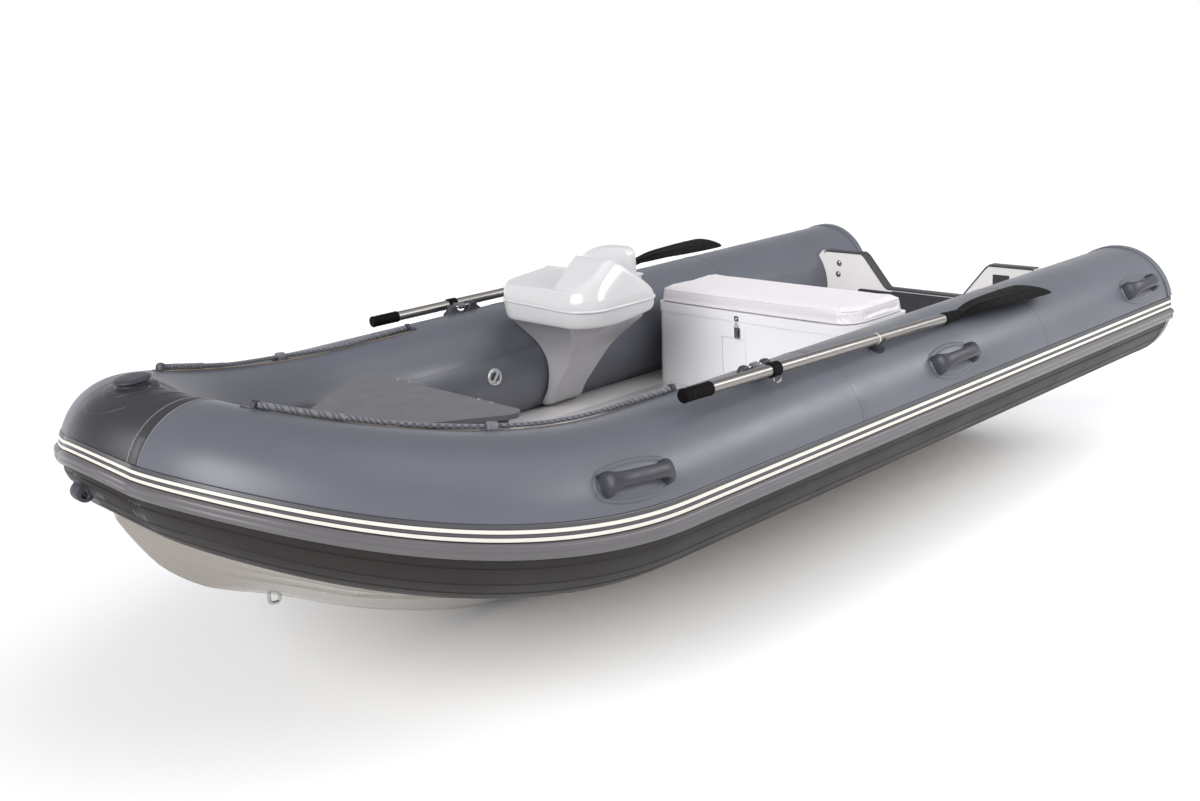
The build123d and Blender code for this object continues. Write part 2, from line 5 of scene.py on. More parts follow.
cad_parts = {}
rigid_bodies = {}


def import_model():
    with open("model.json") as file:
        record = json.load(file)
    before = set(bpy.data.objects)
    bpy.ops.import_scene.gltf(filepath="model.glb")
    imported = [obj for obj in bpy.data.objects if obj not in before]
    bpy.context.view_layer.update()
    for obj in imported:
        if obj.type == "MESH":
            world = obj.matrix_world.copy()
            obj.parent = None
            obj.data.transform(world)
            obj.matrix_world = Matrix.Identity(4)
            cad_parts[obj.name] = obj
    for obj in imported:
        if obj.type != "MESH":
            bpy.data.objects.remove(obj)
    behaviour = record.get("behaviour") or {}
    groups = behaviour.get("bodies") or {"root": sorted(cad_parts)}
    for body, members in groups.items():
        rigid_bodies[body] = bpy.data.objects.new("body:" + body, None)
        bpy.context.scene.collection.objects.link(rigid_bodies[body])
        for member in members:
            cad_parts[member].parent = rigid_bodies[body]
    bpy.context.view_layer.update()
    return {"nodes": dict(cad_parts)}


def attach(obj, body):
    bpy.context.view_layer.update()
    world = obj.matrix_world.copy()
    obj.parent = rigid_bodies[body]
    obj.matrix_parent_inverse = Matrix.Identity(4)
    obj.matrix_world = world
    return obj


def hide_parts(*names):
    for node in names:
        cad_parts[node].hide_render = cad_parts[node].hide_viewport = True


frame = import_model()
NODES = frame["nodes"]
scene = bpy.context.scene
rad = math.radians

# ------------------------------------------------------------------ camera
cam_data = bpy.data.cameras.new("camera")
cam_data.sensor_fit = "HORIZONTAL"
cam_data.sensor_width = 36.0
cam_data.lens = 40.05
cam_data.clip_end = 60.0
camera = bpy.data.objects.new("camera", cam_data)
scene.collection.objects.link(camera)
CAM = Vector((3.13412825, 3.14073454, 1.75454335))
CF = Vector((-0.64994886, -0.70977733, -0.27162956))
CR = Vector((-0.72317707, 0.68749696, -0.06605187))
CU = Vector((-0.23362662, -0.15350593, 0.96013256))
camera.matrix_world = Matrix(((CR.x, CU.x, -CF.x, CAM.x), (CR.y, CU.y, -CF.y, CAM.y), (CR.z, CU.z, -CF.z, CAM.z), (0, 0, 0, 1)))
scene.camera = camera
scene.view_settings.view_transform = "Standard"


# ------------------------------------------------------------------ materials
def new_mat(name):
    m = bpy.data.materials.new(name)
    m.use_nodes = True
    nt = m.node_tree
    return m, nt, nt.nodes["Principled BSDF"]


def noise_tex(nt, scale, detail=3.0, rough=0.5, stretch=None):
    co = nt.nodes.new("ShaderNodeTexCoord")
    mp = nt.nodes.new("ShaderNodeMapping")
    if stretch:
        mp.inputs["Scale"].default_value = stretch
    nt.links.new(co.outputs["Object"], mp.inputs["Vector"])
    n = nt.nodes.new("ShaderNodeTexNoise")
    n.inputs["Scale"].default_value = scale
    n.inputs["Detail"].default_value = detail
    n.inputs["Roughness"].default_value = rough
    nt.links.new(mp.outputs["Vector"], n.inputs["Vector"])
    return n


def ramp(nt, fac, stops):
    r = nt.nodes.new("ShaderNodeValToRGB")
    el = r.color_ramp.elements
    el[0].position, el[0].color = stops[0][0], (*stops[0][1], 1)
    el[1].position, el[1].color = stops[-1][0], (*stops[-1][1], 1)
    for p, c in stops[1:-1]:
        e = el.new(p)
        e.color = (*c, 1)
    nt.links.new(fac, r.inputs["Fac"])
    return r


def shade(base, d):
    return tuple(max(0.0, min(1.0, c * (1 + d))) for c in base)


def material(name, base, rough, metallic=0.0, var=0.06, var_scale=5.0, fine=None, grain=None, rvar=0.05, coat=0.0, coat_rough=0.1,
             sheen=0.0, spec=0.5, stretch=None, weave=None, speck=None):
    m, nt, b = new_mat(name)
    n = noise_tex(nt, var_scale, 4.0, 0.55, stretch)
    stops = [(0.3, shade(base, -var)), (0.5, base), (0.7, shade(base, var))]
    r = ramp(nt, n.outputs["Fac"], stops)
    col = r.outputs["Color"]
    if speck:
        sn = noise_tex(nt, speck[0], 2.0)
        sr = ramp(nt, sn.outputs["Fac"], [(0.35, (0, 0, 0)), (0.65, (1, 1, 1))])
        mx = nt.nodes.new("ShaderNodeMix")
        mx.data_type = "RGBA"
        mx.blend_type = "MULTIPLY"
        mx.inputs["Factor"].default_value = speck[1]
        nt.links.new(col, mx.inputs["A"])
        nt.links.new(sr.outputs["Color"], mx.inputs["B"])
        col = mx.outputs["Result"]
    nt.links.new(col, b.inputs["Base Color"])
    rn = noise_tex(nt, var_scale * 2.3, 3.0)
    rr = ramp(nt, rn.outputs["Fac"], [(0.3, (max(0.02, rough - rvar),) * 3), (0.7, (min(1.0, rough + rvar),) * 3)])
    nt.links.new(rr.outputs["Color"], b.inputs["Roughness"])
    b.inputs["Metallic"].default_value = metallic
    b.inputs["Coat Weight"].default_value = coat
    b.inputs["Coat Roughness"].default_value = coat_rough
    b.inputs["Sheen Weight"].default_value = sheen
    b.inputs["Sheen Roughness"].default_value = 0.4
    b.inputs["Specular IOR Level"].default_value = spec
    prev = None
    for item in (fine, grain):
        if not item:
            continue
        scale, strength, dist = item
        bn = noise_tex(nt, scale, 3.0, 0.6)
        bump = nt.nodes.new("ShaderNodeBump")
        bump.inputs["Strength"].default_value = strength
        bump.inputs["Distance"].default_value = dist
        nt.links.new(bn.outputs["Fac"], bump.inputs["Height"])
        if prev:
            nt.links.new(prev.outputs["Normal"], bump.inputs["Normal"])
        prev = bump
    if weave:
        scale, strength, dist = weave
        co = nt.nodes.new("ShaderNodeTexCoord")
        ws = []
        for d in ("X", "Z"):
            w = nt.nodes.new("ShaderNodeTexWave")
            w.wave_type = "BANDS"
            w.bands_direction = d
            w.inputs["Scale"].default_value = scale
            w.inputs["Distortion"].default_value = 0.6
            w.inputs["Detail"].default_value = 1.0
            nt.links.new(co.outputs["Object"], w.inputs["Vector"])
            ws.append(w)
        mul = nt.nodes.new("ShaderNodeMath")
        mul.operation = "ADD"
        nt.links.new(ws[0].outputs["Fac"], mul.inputs[0])
        nt.links.new(ws[1].outputs["Fac"], mul.inputs[1])
        bump = nt.nodes.new("ShaderNodeBump")
        bump.inputs["Strength"].default_value = strength
        bump.inputs["Distance"].default_value = dist
        nt.links.new(mul.outputs["Value"], bump.inputs["Height"])
        if prev:
            nt.links.new(prev.outputs["Normal"], bump.inputs["Normal"])
        prev = bump
    if prev:
        nt.links.new(prev.outputs["Normal"], b.inputs["Normal"])
    return m


M = {}
M["tube_fabric"] = material("tube_fabric", (0.099, 0.105, 0.125), 0.36, var=0.07, var_scale=2.2, fine=(420, 0.10, 0.0006), grain=(5.0, 0.10, 0.010), rvar=0.05, spec=0.5, weave=(260, 0.05, 0.0004))
M["tube_tape"] = material("tube_tape", (0.094, 0.098, 0.117), 0.34, var=0.06, var_scale=4, fine=(500, 0.10, 0.0005), rvar=0.05)
# bow fabric darker than the tube fabric: partly its own darker colour, partly painted shade of the bow end
M["bow_fabric"] = material("bow_fabric", (0.034, 0.032, 0.036), 0.40, var=0.10, var_scale=3.0, fine=(420, 0.12, 0.0006), grain=(6.0, 0.10, 0.008), rvar=0.05, weave=(260, 0.05, 0.0004), spec=0.36)
# underside fabric: its very dark colour is painted shade standing in for the shadow under the tube
M["under_fabric"] = material("under_fabric", (0.020, 0.017, 0.016), 0.50, var=0.08, var_scale=3.0, fine=(420, 0.08, 0.0004), rvar=0.05, spec=0.22)
M["rub_rail"] = material("rub_rail", (0.104, 0.097, 0.104), 0.32, var=0.08, var_scale=4.0, rvar=0.04)
M["stripe_white"] = material("stripe_white", (0.66, 0.635, 0.575), 0.33, var=0.03, var_scale=6.0, fine=(300, 0.05, 0.0004))
M["stripe_grey"] = material("stripe_grey", (0.060, 0.058, 0.066), 0.34, var=0.06, var_scale=5.0, fine=(300, 0.08, 0.0005))
M["stripe_dark"] = material("stripe_dark", (0.012, 0.011, 0.012), 0.35, var=0.10, var_scale=5.0)
M["hull_gelcoat"] = material("hull_gelcoat", (0.278, 0.250, 0.222), 0.18, var=0.04, var_scale=2.0, rvar=0.03, coat=0.6, coat_rough=0.05)
M["deck_gelcoat"] = material("deck_gelcoat", (0.68, 0.66, 0.655), 0.20, var=0.05, var_scale=3.0, fine=(220, 0.05, 0.0008), rvar=0.05, coat=0.5, coat_rough=0.08)
M["white_gelcoat"] = material("white_gelcoat", (0.78, 0.77, 0.79), 0.16, var=0.012, var_scale=3.0, grain=(7.0, 0.02, 0.006), rvar=0.03, coat=0.7, coat_rough=0.05)
# darker copy of the white gelcoat for the console: painted shade that tones down its brightly lit top
M["console_white"] = material("console_white", (0.56, 0.55, 0.56), 0.18, var=0.012, var_scale=3.0, grain=(7.0, 0.02, 0.006), rvar=0.03, coat=0.4, coat_rough=0.10)
M["console_grey"] = material("console_grey", (0.33, 0.32, 0.34), 0.20, var=0.03, var_scale=3.0, grain=(8.0, 0.02, 0.006), rvar=0.03, coat=0.5, coat_rough=0.08)
M["lid_grey"] = material("lid_grey", (0.112, 0.107, 0.118), 0.50, var=0.04, var_scale=7.0, fine=(650, 0.18, 0.0006), rvar=0.05)
M["cushion_vinyl"] = material("cushion_vinyl", (0.66, 0.625, 0.65), 0.36, var=0.015, var_scale=6.0, fine=(520, 0.16, 0.0007), grain=(14.0, 0.05, 0.004), rvar=0.05, sheen=0.15)
M["fitting_rubber"] = material("fitting_rubber", (0.036, 0.036, 0.047), 0.40, var=0.07, var_scale=12.0, fine=(450, 0.14, 0.0005), rvar=0.06, spec=0.35)
M["fitting_pale"] = material("fitting_pale", (0.135, 0.135, 0.160), 0.42, var=0.07, var_scale=20.0, fine=(450, 0.14, 0.0005), rvar=0.06)
M["black_rubber"] = material("black_rubber", (0.014, 0.013, 0.014), 0.50, var=0.15, var_scale=20.0, fine=(500, 0.20, 0.0006))
M["dark_pad"] = material("dark_pad", (0.032, 0.030, 0.036), 0.42, var=0.12, var_scale=30.0, fine=(260, 0.30, 0.0010))
M["oar_aluminium"] = material("oar_aluminium", (0.255, 0.242, 0.230), 0.30, metallic=0.95, var=0.04, var_scale=4.0, fine=(700, 0.06, 0.0003), rvar=0.05, stretch=(0.2, 6, 6))
M["oar_black"] = material("oar_black", (0.006, 0.005, 0.0055), 0.55, var=0.15, var_scale=18.0, fine=(600, 0.20, 0.0005), rvar=0.06, spec=0.04)
M["steel"] = material("steel", (0.42, 0.41, 0.40), 0.22, metallic=1.0, var=0.06, var_scale=30.0, fine=(300, 0.04, 0.0003), rvar=0.06)
M["valve_plastic"] = material("valve_plastic", (0.50, 0.50, 0.515), 0.30, metallic=0.35, var=0.05, var_scale=25.0, fine=(500, 0.06, 0.0003), rvar=0.06)
M["rope"] = material("rope", (0.070, 0.072, 0.085), 0.60, var=0.35, var_scale=260.0, fine=(900, 0.5, 0.0010), rvar=0.08, sheen=0.3)
M["rope_pale"] = material("rope_pale", (0.165, 0.165, 0.180), 0.60, var=0.25, var_scale=260.0, fine=(900, 0.5, 0.0010), rvar=0.08, sheen=0.3)
M["tan_cord"] = material("tan_cord", (0.36, 0.25, 0.15), 0.6, var=0.2, var_scale=120.0, fine=(800, 0.3, 0.0008))
M["seam_light"] = material("seam_light", (0.165, 0.160, 0.178), 0.34, var=0.06, var_scale=9.0, fine=(400, 0.1, 0.0004))
M["seam_shadow"] = material("seam_shadow", (0.055, 0.055, 0.064), 0.45, var=0.1, var_scale=9.0, fine=(400, 0.2, 0.0005))


# ------------------------------------------------------------------ mesh helpers, sizes in millimetres
def make(name, verts, faces, mats, body="boat", slot=None, smooth=True, sharp=None, index=None, closed=True, bevel=None):
    me = bpy.data.meshes.new(name)
    me.from_pydata([(v[0] * 0.001, v[1] * 0.001, v[2] * 0.001) for v in verts], [], faces)
    for m in (mats if isinstance(mats, (list, tuple)) else [mats]):
        me.materials.append(M[m])
    if index:
        me.polygons.foreach_set("material_index", index)
    bm = bmesh.new()
    bm.from_mesh(me)
    bmesh.ops.remove_doubles(bm, verts=bm.verts, dist=0.00001)
    bmesh.ops.recalc_face_normals(bm, faces=bm.faces)
    bm.to_mesh(me)
    bm.free()
    me.polygons.foreach_set("use_smooth", [smooth] * len(me.polygons))
    if sharp:
        me.set_sharp_from_angle(angle=rad(sharp))
    me.update()
    ob = bpy.data.objects.new(name, me)
    scene.collection.objects.link(ob)
    if bevel:
        bv = ob.modifiers.new("round", "BEVEL")
        bv.width = bevel * 0.001
        bv.segments = 3
        bv.limit_method = "ANGLE"
        bv.angle_limit = rad(35)
        bv.harden_normals = False
    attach(ob, body)
    return ob


def grid_faces(nu, nv, close_u=False, close_v=False, base=0):
    f = []
    for i in range(nu if close_u else nu - 1):
        for j in range(nv if close_v else nv - 1):
            a = base + i * nv + j
            b = base + ((i + 1) % nu) * nv + j
            c = base + ((i + 1) % nu) * nv + (j + 1) % nv
            d = base + i * nv + (j + 1) % nv
            f.append((a, b, c, d))
    return f


class Soup:
    """Several closed pieces gathered in one mesh."""
    def __init__(self):
        self.v, self.f, self.m = [], [], []

    def add(self, verts, faces, mi=0):
        n = len(self.v)
        self.v += [Vector(p) for p in verts]
        self.f += [tuple(i + n for i in q) for q in faces]
        self.m += [mi] * len(faces)

    def loops(self, rings, cap=True, mi=0, close=True):
        nv = len(rings[0])
        verts = [p for r in rings for p in r]
        faces = grid_faces(len(rings), nv, False, close)
        if cap:
            faces.append(tuple(range(nv)))
            faces.append(tuple(reversed(range((len(rings) - 1) * nv, len(rings) * nv))))
        self.add(verts, faces, mi)

    def build(self, name, mats, **kw):
        return make(name, self.v, self.f, mats, index=self.m, **kw)


def circle_ring(o, ax, ay, r, n=24, ry=None):
    ry = r if ry is None else ry
    return [o + ax * (r * math.cos(2 * math.pi * k / n)) + ay * (ry * math.sin(2 * math.pi * k / n)) for k in range(n)]


def axes_for(d):
    d = d.normalized()
    a = Vector((0, 0, 1)) if abs(d.z) < 0.9 else Vector((1, 0, 0))
    u = d.cross(a).normalized()
    return u, d.cross(u).normalized()


def sweep_rings(pts, r, n=12, closed=False, radii=None):
    rings = []
    u = None
    m = len(pts)
    for i, p in enumerate(pts):
        a = pts[i - 1] if (i > 0 or closed) else pts[i]
        b = pts[(i + 1) % m] if (i < m - 1 or closed) else pts[i]
        d = (b - a).normalized()
        if u is None:
            u, v = axes_for(d)
        else:
            u = (u - d * u.dot(d)).normalized()
            v = d.cross(u)
        rr = radii[i] if radii else r
        rings.append([p + u * (rr * math.cos(2 * math.pi * k / n)) + v * (rr * math.sin(2 * math.pi * k / n)) for k in range(n)])
    return rings


def tube_into(soup, pts, r, n=12, closed=False, radii=None, mi=0):
    rings = sweep_rings(pts, r, n, closed, radii)
    if closed:
        verts = [p for q in rings for p in q]
        soup.add(verts, grid_faces(len(rings), n, True, True), mi)
    else:
        soup.loops(rings, True, mi)


def lathe(soup, o, axis, prof, n=40, mi=0):
    """prof is a list of (distance along the axis, radius)."""
    u, v = axes_for(axis)
    axis = axis.normalized()
    soup.loops([circle_ring(o + axis * a, u, v, max(r, 0.05), n) for a, r in prof], True, mi)


def smoothmin(a, b, k):
    h = max(k - abs(a - b), 0.0) / k
    return min(a, b) - h * h * k * 0.25


def smoothmax(a, b, k):
    return -smoothmin(-a, -b, k)


def lerp(a, b, f):
    return a + (b - a) * f


def sstep(f):
    f = max(0.0, min(1.0, f))
    return f * f * (3 - 2 * f)


def spline_rows(rows, x):
    """Catmull-Rom through rows of numbers, the first column being the parameter."""
    n = len(rows)
    i = 0
    while i < n - 2 and x > rows[i + 1][0]:
        i += 1
    p1, p2 = rows[i], rows[i + 1]
    p0 = rows[i - 1] if i > 0 else None
    p3 = rows[i + 2] if i + 2 < n else None
    h = p2[0] - p1[0]
    f = (x - p1[0]) / h
    out = []
    for k in range(1, len(p1)):
        m1 = (p2[k] - p1[k]) / h if p0 is None else (p2[k] - p0[k]) / (p2[0] - p0[0])
        m2 = (p2[k] - p1[k]) / h if p3 is None else (p3[k] - p1[k]) / (p3[0] - p1[0])
        f2, f3 = f * f, f * f * f
        out.append((2 * f3 - 3 * f2 + 1) * p1[k] + (f3 - 2 * f2 + f) * h * m1 + (-2 * f3 + 3 * f2) * p2[k] + (f3 - f2) * h * m2)
    return out


# ------------------------------------------------------------------ the tube surface
TUBE_R, TUBE_Y, TUBE_Z = 215.0, 713.0, 555.0
RIM_X, BOW_X = -1922.0, 807.0
BEND = [(807.0, 713.0), (1440.5, 713.0), (1971.0, 219.0), (1679.0, 0.0)]
SEAM_T, NOSE_X, NOSE_Z, NOSE_R = 0.785, 1829.0, 808.0, 161.5
AFT_T = RIM_X - BOW_X


def bend(t):
    w = ((1 - t) ** 3, 3 * t * (1 - t) ** 2, 3 * t * t * (1 - t), t ** 3)
    return sum(k * p[0] for k, p in zip(w, BEND)), sum(k * p[1] for k, p in zip(w, BEND))


def centre(t):
    if t < 0:
        return Vector((BOW_X + t, TUBE_Y, TUBE_Z))
    x, y = bend(t)
    return Vector((x, y, TUBE_Z + (0.0 if x <= 846.0 else 179.8 * ((x - 846.0) / 833.0) ** 1.877)))


def share(t):
    if t <= 0:
        return 0.0
    s = (bend(min(t, SEAM_T))[0] - BOW_X) / (NOSE_X - BOW_X)
    if t <= SEAM_T:
        return s
    k = (1 - t) / (1 - SEAM_T)
    return s + (1 - s) * (1 - k * k)


def pframe(t):
    if t <= SEAM_T:
        c = centre(t)
        d = Vector((1, 0, 0)) if t <= 0 else (centre(t + 0.001) - centre(t - 0.001)).normalized()
        u = Vector((-d.y, d.x, 0)).normalized()
        return c, u, d.cross(u), TUBE_R - 44.0 * share(t) ** 2.115
    c, u, v, r = pframe(SEAM_T)
    k = (1 - t) / (1 - SEAM_T)
    a = math.atan2(u.y, u.x) * k
    o = Vector((NOSE_X - (NOSE_X - c.x) * k * k, c.y * k, NOSE_Z - (NOSE_Z - c.z) * k * k))
    u2 = Vector((math.cos(a), math.sin(a), 0))
    v2 = v * k + Vector((0, 0, 1)) * (1 - k)
    v2 = (v2 - u2 * v2.dot(u2)).normalized()
    return o, u2, v2, r + (NOSE_R - r) * (1 - k * k)


FR = {}


def tpt(t, phi, side=1, out=0.0):
    """Point on the tube; t beyond 1 runs on round the nose to the other side."""
    if t > 1:
        t, side = 2 - t, -side
    if t not in FR:
        FR[t] = pframe(t)
    c, u, v, r = FR[t]
    a = rad(phi)
    p = c + (u * math.cos(a) + v * math.sin(a)) * (r + out)
    return Vector((p.x, p.y * side, p.z))


def lift(t):
    return 13.5 * share(2 - t if t > 1 else t) ** 3.48


def speed(t):
    """Millimetres of centre line per unit of t."""
    if t < 0:
        return 1.0
    t = 2 - t if t > 1 else t
    e = 0.002
    a, b = (t - e, t) if t > 1 - e else (t, t + e)
    return max(200.0, (pframe(b)[0] - pframe(a)[0]).length / e)


def t_of_x(x):
    if x <= BOW_X:
        return x - BOW_X - 1e-6
    lo, hi = 0.0, SEAM_T
    for _ in range(50):
        m = (lo + hi) / 2
        lo, hi = (m, hi) if bend(m)[0] < x else (lo, m)
    return (lo + hi) / 2


def walk(t0, s):
    """t that lies s millimetres of centre line further forward."""
    t, left = t0, s
    n = max(1, int(abs(s) / 8))
    for _ in range(n):
        t += (s / n) / speed(t)
    return t


def local(t, phi, side=1, out=0.0):
    """Origin on the skin, direction of travel, sideways, and outward."""
    o = tpt(t, phi, side, out)
    n = (tpt(t, phi, side, out + 10) - o).normalized()
    w = (tpt(t, phi + 0.5, side, out) - tpt(t, phi - 0.5, side, out)).normalized()
    d = w.cross(n) if side > 0 else n.cross(w)
    if d.x < 0 and side > 0:
        d = -d
    if side < 0 and d.x < 0:
        d = -d
    return o, d.normalized(), w, n


def patch_into(soup, t0, phi0, side, shape, thick=2.5, rings=7, n=48, mi=0, under=1.2, edge=0.94, crown=0.0):
    """A pad glued on the tube. shape(angle) gives (along, around) in millimetres on its edge."""
    rows = []
    r = pframe(2 - t0 if t0 > 1 else t0)[3]
    def place(s, w, out):
        return tpt(walk(t0, s), phi0 + math.degrees(w / r), side, out)
    levels = [(0.0, thick + crown)] + [(edge * (k + 1) / rings, thick + crown * (1 - ((k + 1) / rings) ** 2)) for k in range(rings)]
    levels += [(0.985, thick * 0.78), (1.0, thick * 0.3), (1.0, -under)]
    for q, out in levels:
        q = max(q, 0.02)
        rows.append([place(*[c * q for c in shape(2 * math.pi * k / n)], out) for k in range(n)])
    verts = [p for row in rows for p in row]
    faces = grid_faces(len(rows), n, False, True)
    faces.append(tuple(range(n)))
    soup.add(verts, faces, mi)


def oval(a, b, p=2.0):
    def f(g):
        c, s = math.cos(g), math.sin(g)
        return (a * math.copysign(abs(c) ** (2 / p), c), b * math.copysign(abs(s) ** (2 / p), s))
    return f


def slot_shape(half, r):
    def f(g):
        c, s = math.cos(g), math.sin(g)
        return ((half - r) * math.copysign(min(1.0, abs(c) * 1.35), c) + r * c, r * s)
    return f


def band(name, stations, prof, mats, idx=None, lifted=True, body="boat", slot=None, sharp=40, close=True):
    """A band along the tube. prof is its section as (degrees round the tube, height over the skin)."""
    verts = []
    for t, side in stations:
        l = lift(t) if lifted else 0.0
        verts += [tpt(t, a + l, side, h) for a, h in prof]
    n = len(prof)
    faces = grid_faces(len(stations), n, False, close)
    index = []
    for i in range(len(stations) - 1):
        index += [(idx[j] if idx else 0) for j in range(n if close else n - 1)]
    if close:
        faces.append(tuple(range(n)))
        faces.append(tuple(reversed(range((len(stations) - 1) * n, len(stations) * n))))
        index += [0, 0]
    return make(name, verts, faces, mats, body=body, slot=slot, sharp=sharp, index=index)


def ring_tape(soup, t, side, width, h=0.9, phi0=0.0, phi1=360.0, n=90, mi=0):
    full = phi1 - phi0 >= 359.9
    k = n if full else n + 1
    prof = [(-width / 2, -0.8), (-width / 2 + 0.6, h), (width / 2 - 0.6, h), (width / 2, -0.8)]
    rows = []
    for i in range(k):
        ph = phi0 + (phi1 - phi0) * i / n
        rows.append([tpt(walk(t, s), ph, side, o) for s, o in prof])
    verts = [p for r in rows for p in r]
    soup.add(verts, grid_faces(k, 4, full, True), mi)


STR = [AFT_T + i * (0 - AFT_T) / 44 for i in range(45)]
BENDT = [SEAM_T * i / 56 for i in range(1, 57)]
NOSE = [SEAM_T + (1 - SEAM_T) * i / 18 for i in range(1, 19)]
SIDE = STR + BENDT
ALL = [(t, 1) for t in SIDE + NOSE] + [(t, -1) for t in reversed(SIDE + NOSE[:-1])]
NOSE_ALL = [(t, 1) for t in [SEAM_T] + NOSE] + [(t, -1) for t in reversed([SEAM_T] + NOSE[:-1])]

# ------------------------------------------------------------------ lifelines (cords first)
PORT_ROUTE = [(1.6500, 0.3076, 0.9289), (1.5271, 0.4152, 0.8888), (1.4063, 0.4835, 0.8523), (1.2934, 0.5476, 0.8261), (1.1790, 0.5985, 0.8049),
              (1.0613, 0.6220, 0.7854), (0.9444, 0.6301, 0.7706), (0.8295, 0.6376, 0.7670), (0.7134, 0.6482, 0.7705), (0.5970, 0.6548, 0.7723)]
STAR_ROUTE = [(1.5400, -0.4372, 0.8939), (1.4124, -0.5099, 0.8579), (1.2866, -0.5601, 0.8263), (1.1676, -0.6116, 0.8047), (1.0470, -0.6507, 0.7890),
              (0.9442, -0.6596, 0.7786), (0.8425, -0.6560, 0.7728), (0.7410, -0.6566, 0.7728), (0.6390, -0.6673, 0.7753), (0.5370, -0.6739, 0.7766)]


def cord_line(route):
    cu = bpy.data.curves.new("route", "CURVE")
    cu.dimensions = "3D"
    cu.resolution_u = 38
    sp = cu.splines.new("NURBS")
    sp.points.add(len(route) - 1)
    for p, q in zip(sp.points, route):
        p.co = (*q, 1.0)
    sp.order_u = 3
    sp.use_endpoint_u = True
    ob = bpy.data.objects.new("route", cu)
    scene.collection.objects.link(ob)
    bpy.context.view_layer.update()
    me = bpy.data.meshes.new_from_object(ob.evaluated_get(bpy.context.evaluated_depsgraph_get()))
    pts = [v.co.copy() for v in me.vertices]
    bpy.data.meshes.remove(me)
    bpy.data.objects.remove(ob)
    bpy.data.curves.remove(cu)
    return pts


def strands(soup, pts, outer, count, pitch, n=8, mis=(0,), squash=1.0):
    """count strands laid round the line of pts, all in millimetres; outer is the radius of the whole."""
    r = outer * 0.42
    h = outer - r
    u = None
    frames = []
    dist = 0.0
    for i, p in enumerate(pts):
        d = (pts[min(i + 1, len(pts) - 1)] - pts[max(i - 1, 0)]).normalized()
        if u is None:
            u, v = axes_for(d)
        u = (u - d * u.dot(d)).normalized()
        v = d.cross(u)
        if i:
            dist += (p - pts[i - 1]).length
        frames.append((p, u.copy(), v, dist))
    for s in range(count):
        line = []
        for p, a, b, dd in frames:
            g = 2 * math.pi * (dd / pitch + s / count)
            line.append(p + a * (h * math.cos(g)) + b * (h * math.sin(g)))
        tube_into(soup, line, r, n, mi=mis[s % len(mis)])


LINES = {}
for word, side, route, length in (("port", 1, PORT_ROUTE, 1.158), ("starboard", -1, STAR_ROUTE, 1.060)):
    pts = cord_line(route)
    LINES[word] = pts
    mm = [p * 1000 for p in pts]
    sp = Soup()
    strands(sp, mm, 6.5, 4, 40.0, 7, (0, 1))
    strands(sp, mm, 6.4, 4, -40.0, 7, (1, 0))
    rope = sp.build(word + "_lifeline_rope", ["rope", "rope_pale"], slot="rope")
    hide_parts(word + "_lifeline")

# ------------------------------------------------------------------ tubes
NPHI = 112


def skin_rows(stations, wob=0.0):
    rows = []
    for t, side in stations:
        rows.append([tpt(t, 360.0 * k / NPHI, side, 0.0) for k in range(NPHI)])
    return rows


CAP = [(96.0, 0.01), (96.0, 20.0), (95.7, 45.0), (94.8, 70.0), (92.5, 94.0), (88.0, 116.0), (80.5, 138.0), (70.0, 158.0), (57.5, 175.0), (44.0, 189.5), (30.0, 201.0), (16.0, 209.5), (5.0, 214.0)]
for word, side in (("port", 1), ("starboard", -1)):
    rows = []
    for back, r in CAP:
        rows.append([Vector((RIM_X - back, side * (TUBE_Y + r * math.cos(rad(360.0 * k / NPHI))), TUBE_Z + r * math.sin(rad(360.0 * k / NPHI)))) for k in range(NPHI)])
    rows += skin_rows([(t, side) for t in SIDE])
    verts = [p for r in rows for p in r]
    faces = grid_faces(len(rows), NPHI, False, True)
    faces.append(tuple(range(NPHI)))
    ob = make(word + "_tube_skin", verts, faces, "tube_fabric", slot="tube_fabric")
    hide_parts(word + "_tube", word + "_stern_cap")
rows = skin_rows(NOSE_ALL)
ob = make("bow_tube_skin", [p for r in rows for p in r], grid_faces(len(rows), NPHI, False, True), "bow_fabric", slot="bow_fabric")
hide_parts("bow_tube")

# the rail round the outside
RAIL = [(-14.0, 0.8), (-13.9, 7.0), (-13.2, 12.5), (-12.2, 15.6), (-10.6, 16.9), (-9.0, 16.4), (-8.3, 14.6), (-7.6, 14.4), (-7.0, 16.0), (-5.6, 16.6), (-4.2, 15.6), (-3.2, 12.0), (-2.6, 6.0), (-2.5, 0.8)]
ob = band("rub_rail_strip", ALL, RAIL, "rub_rail", slot="rub_rail", sharp=50)
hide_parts("port_rub_rail", "starboard_rub_rail", "bow_rub_rail")

# the striped strip above the rail: profile points with the material of the stretch that follows each
STRIP = [(-2.4, 0.5, 3), (-2.3, 3.4, 3), (-1.7, 3.9, 0), (-1.5, 5.2, 0), (0.7, 5.2, 0), (0.9, 3.9, 2), (1.3, 3.2, 1), (3.1, 3.2, 2), (3.6, 3.9, 0), (3.8, 5.2, 0), (6.0, 5.2, 0), (6.2, 3.6, 2),
         (6.7, 2.8, 1), (8.2, 3.0, 1), (9.6, 2.4, 3), (9.9, 1.2, 3), (10.1, -0.6, 3)]
band("stripe_strip", ALL, [(a, h) for a, h, _ in STRIP], ["stripe_white", "stripe_grey", "stripe_dark", "stripe_dark"], idx=[m for _, _, m in STRIP], sharp=45, slot="rub_rail")
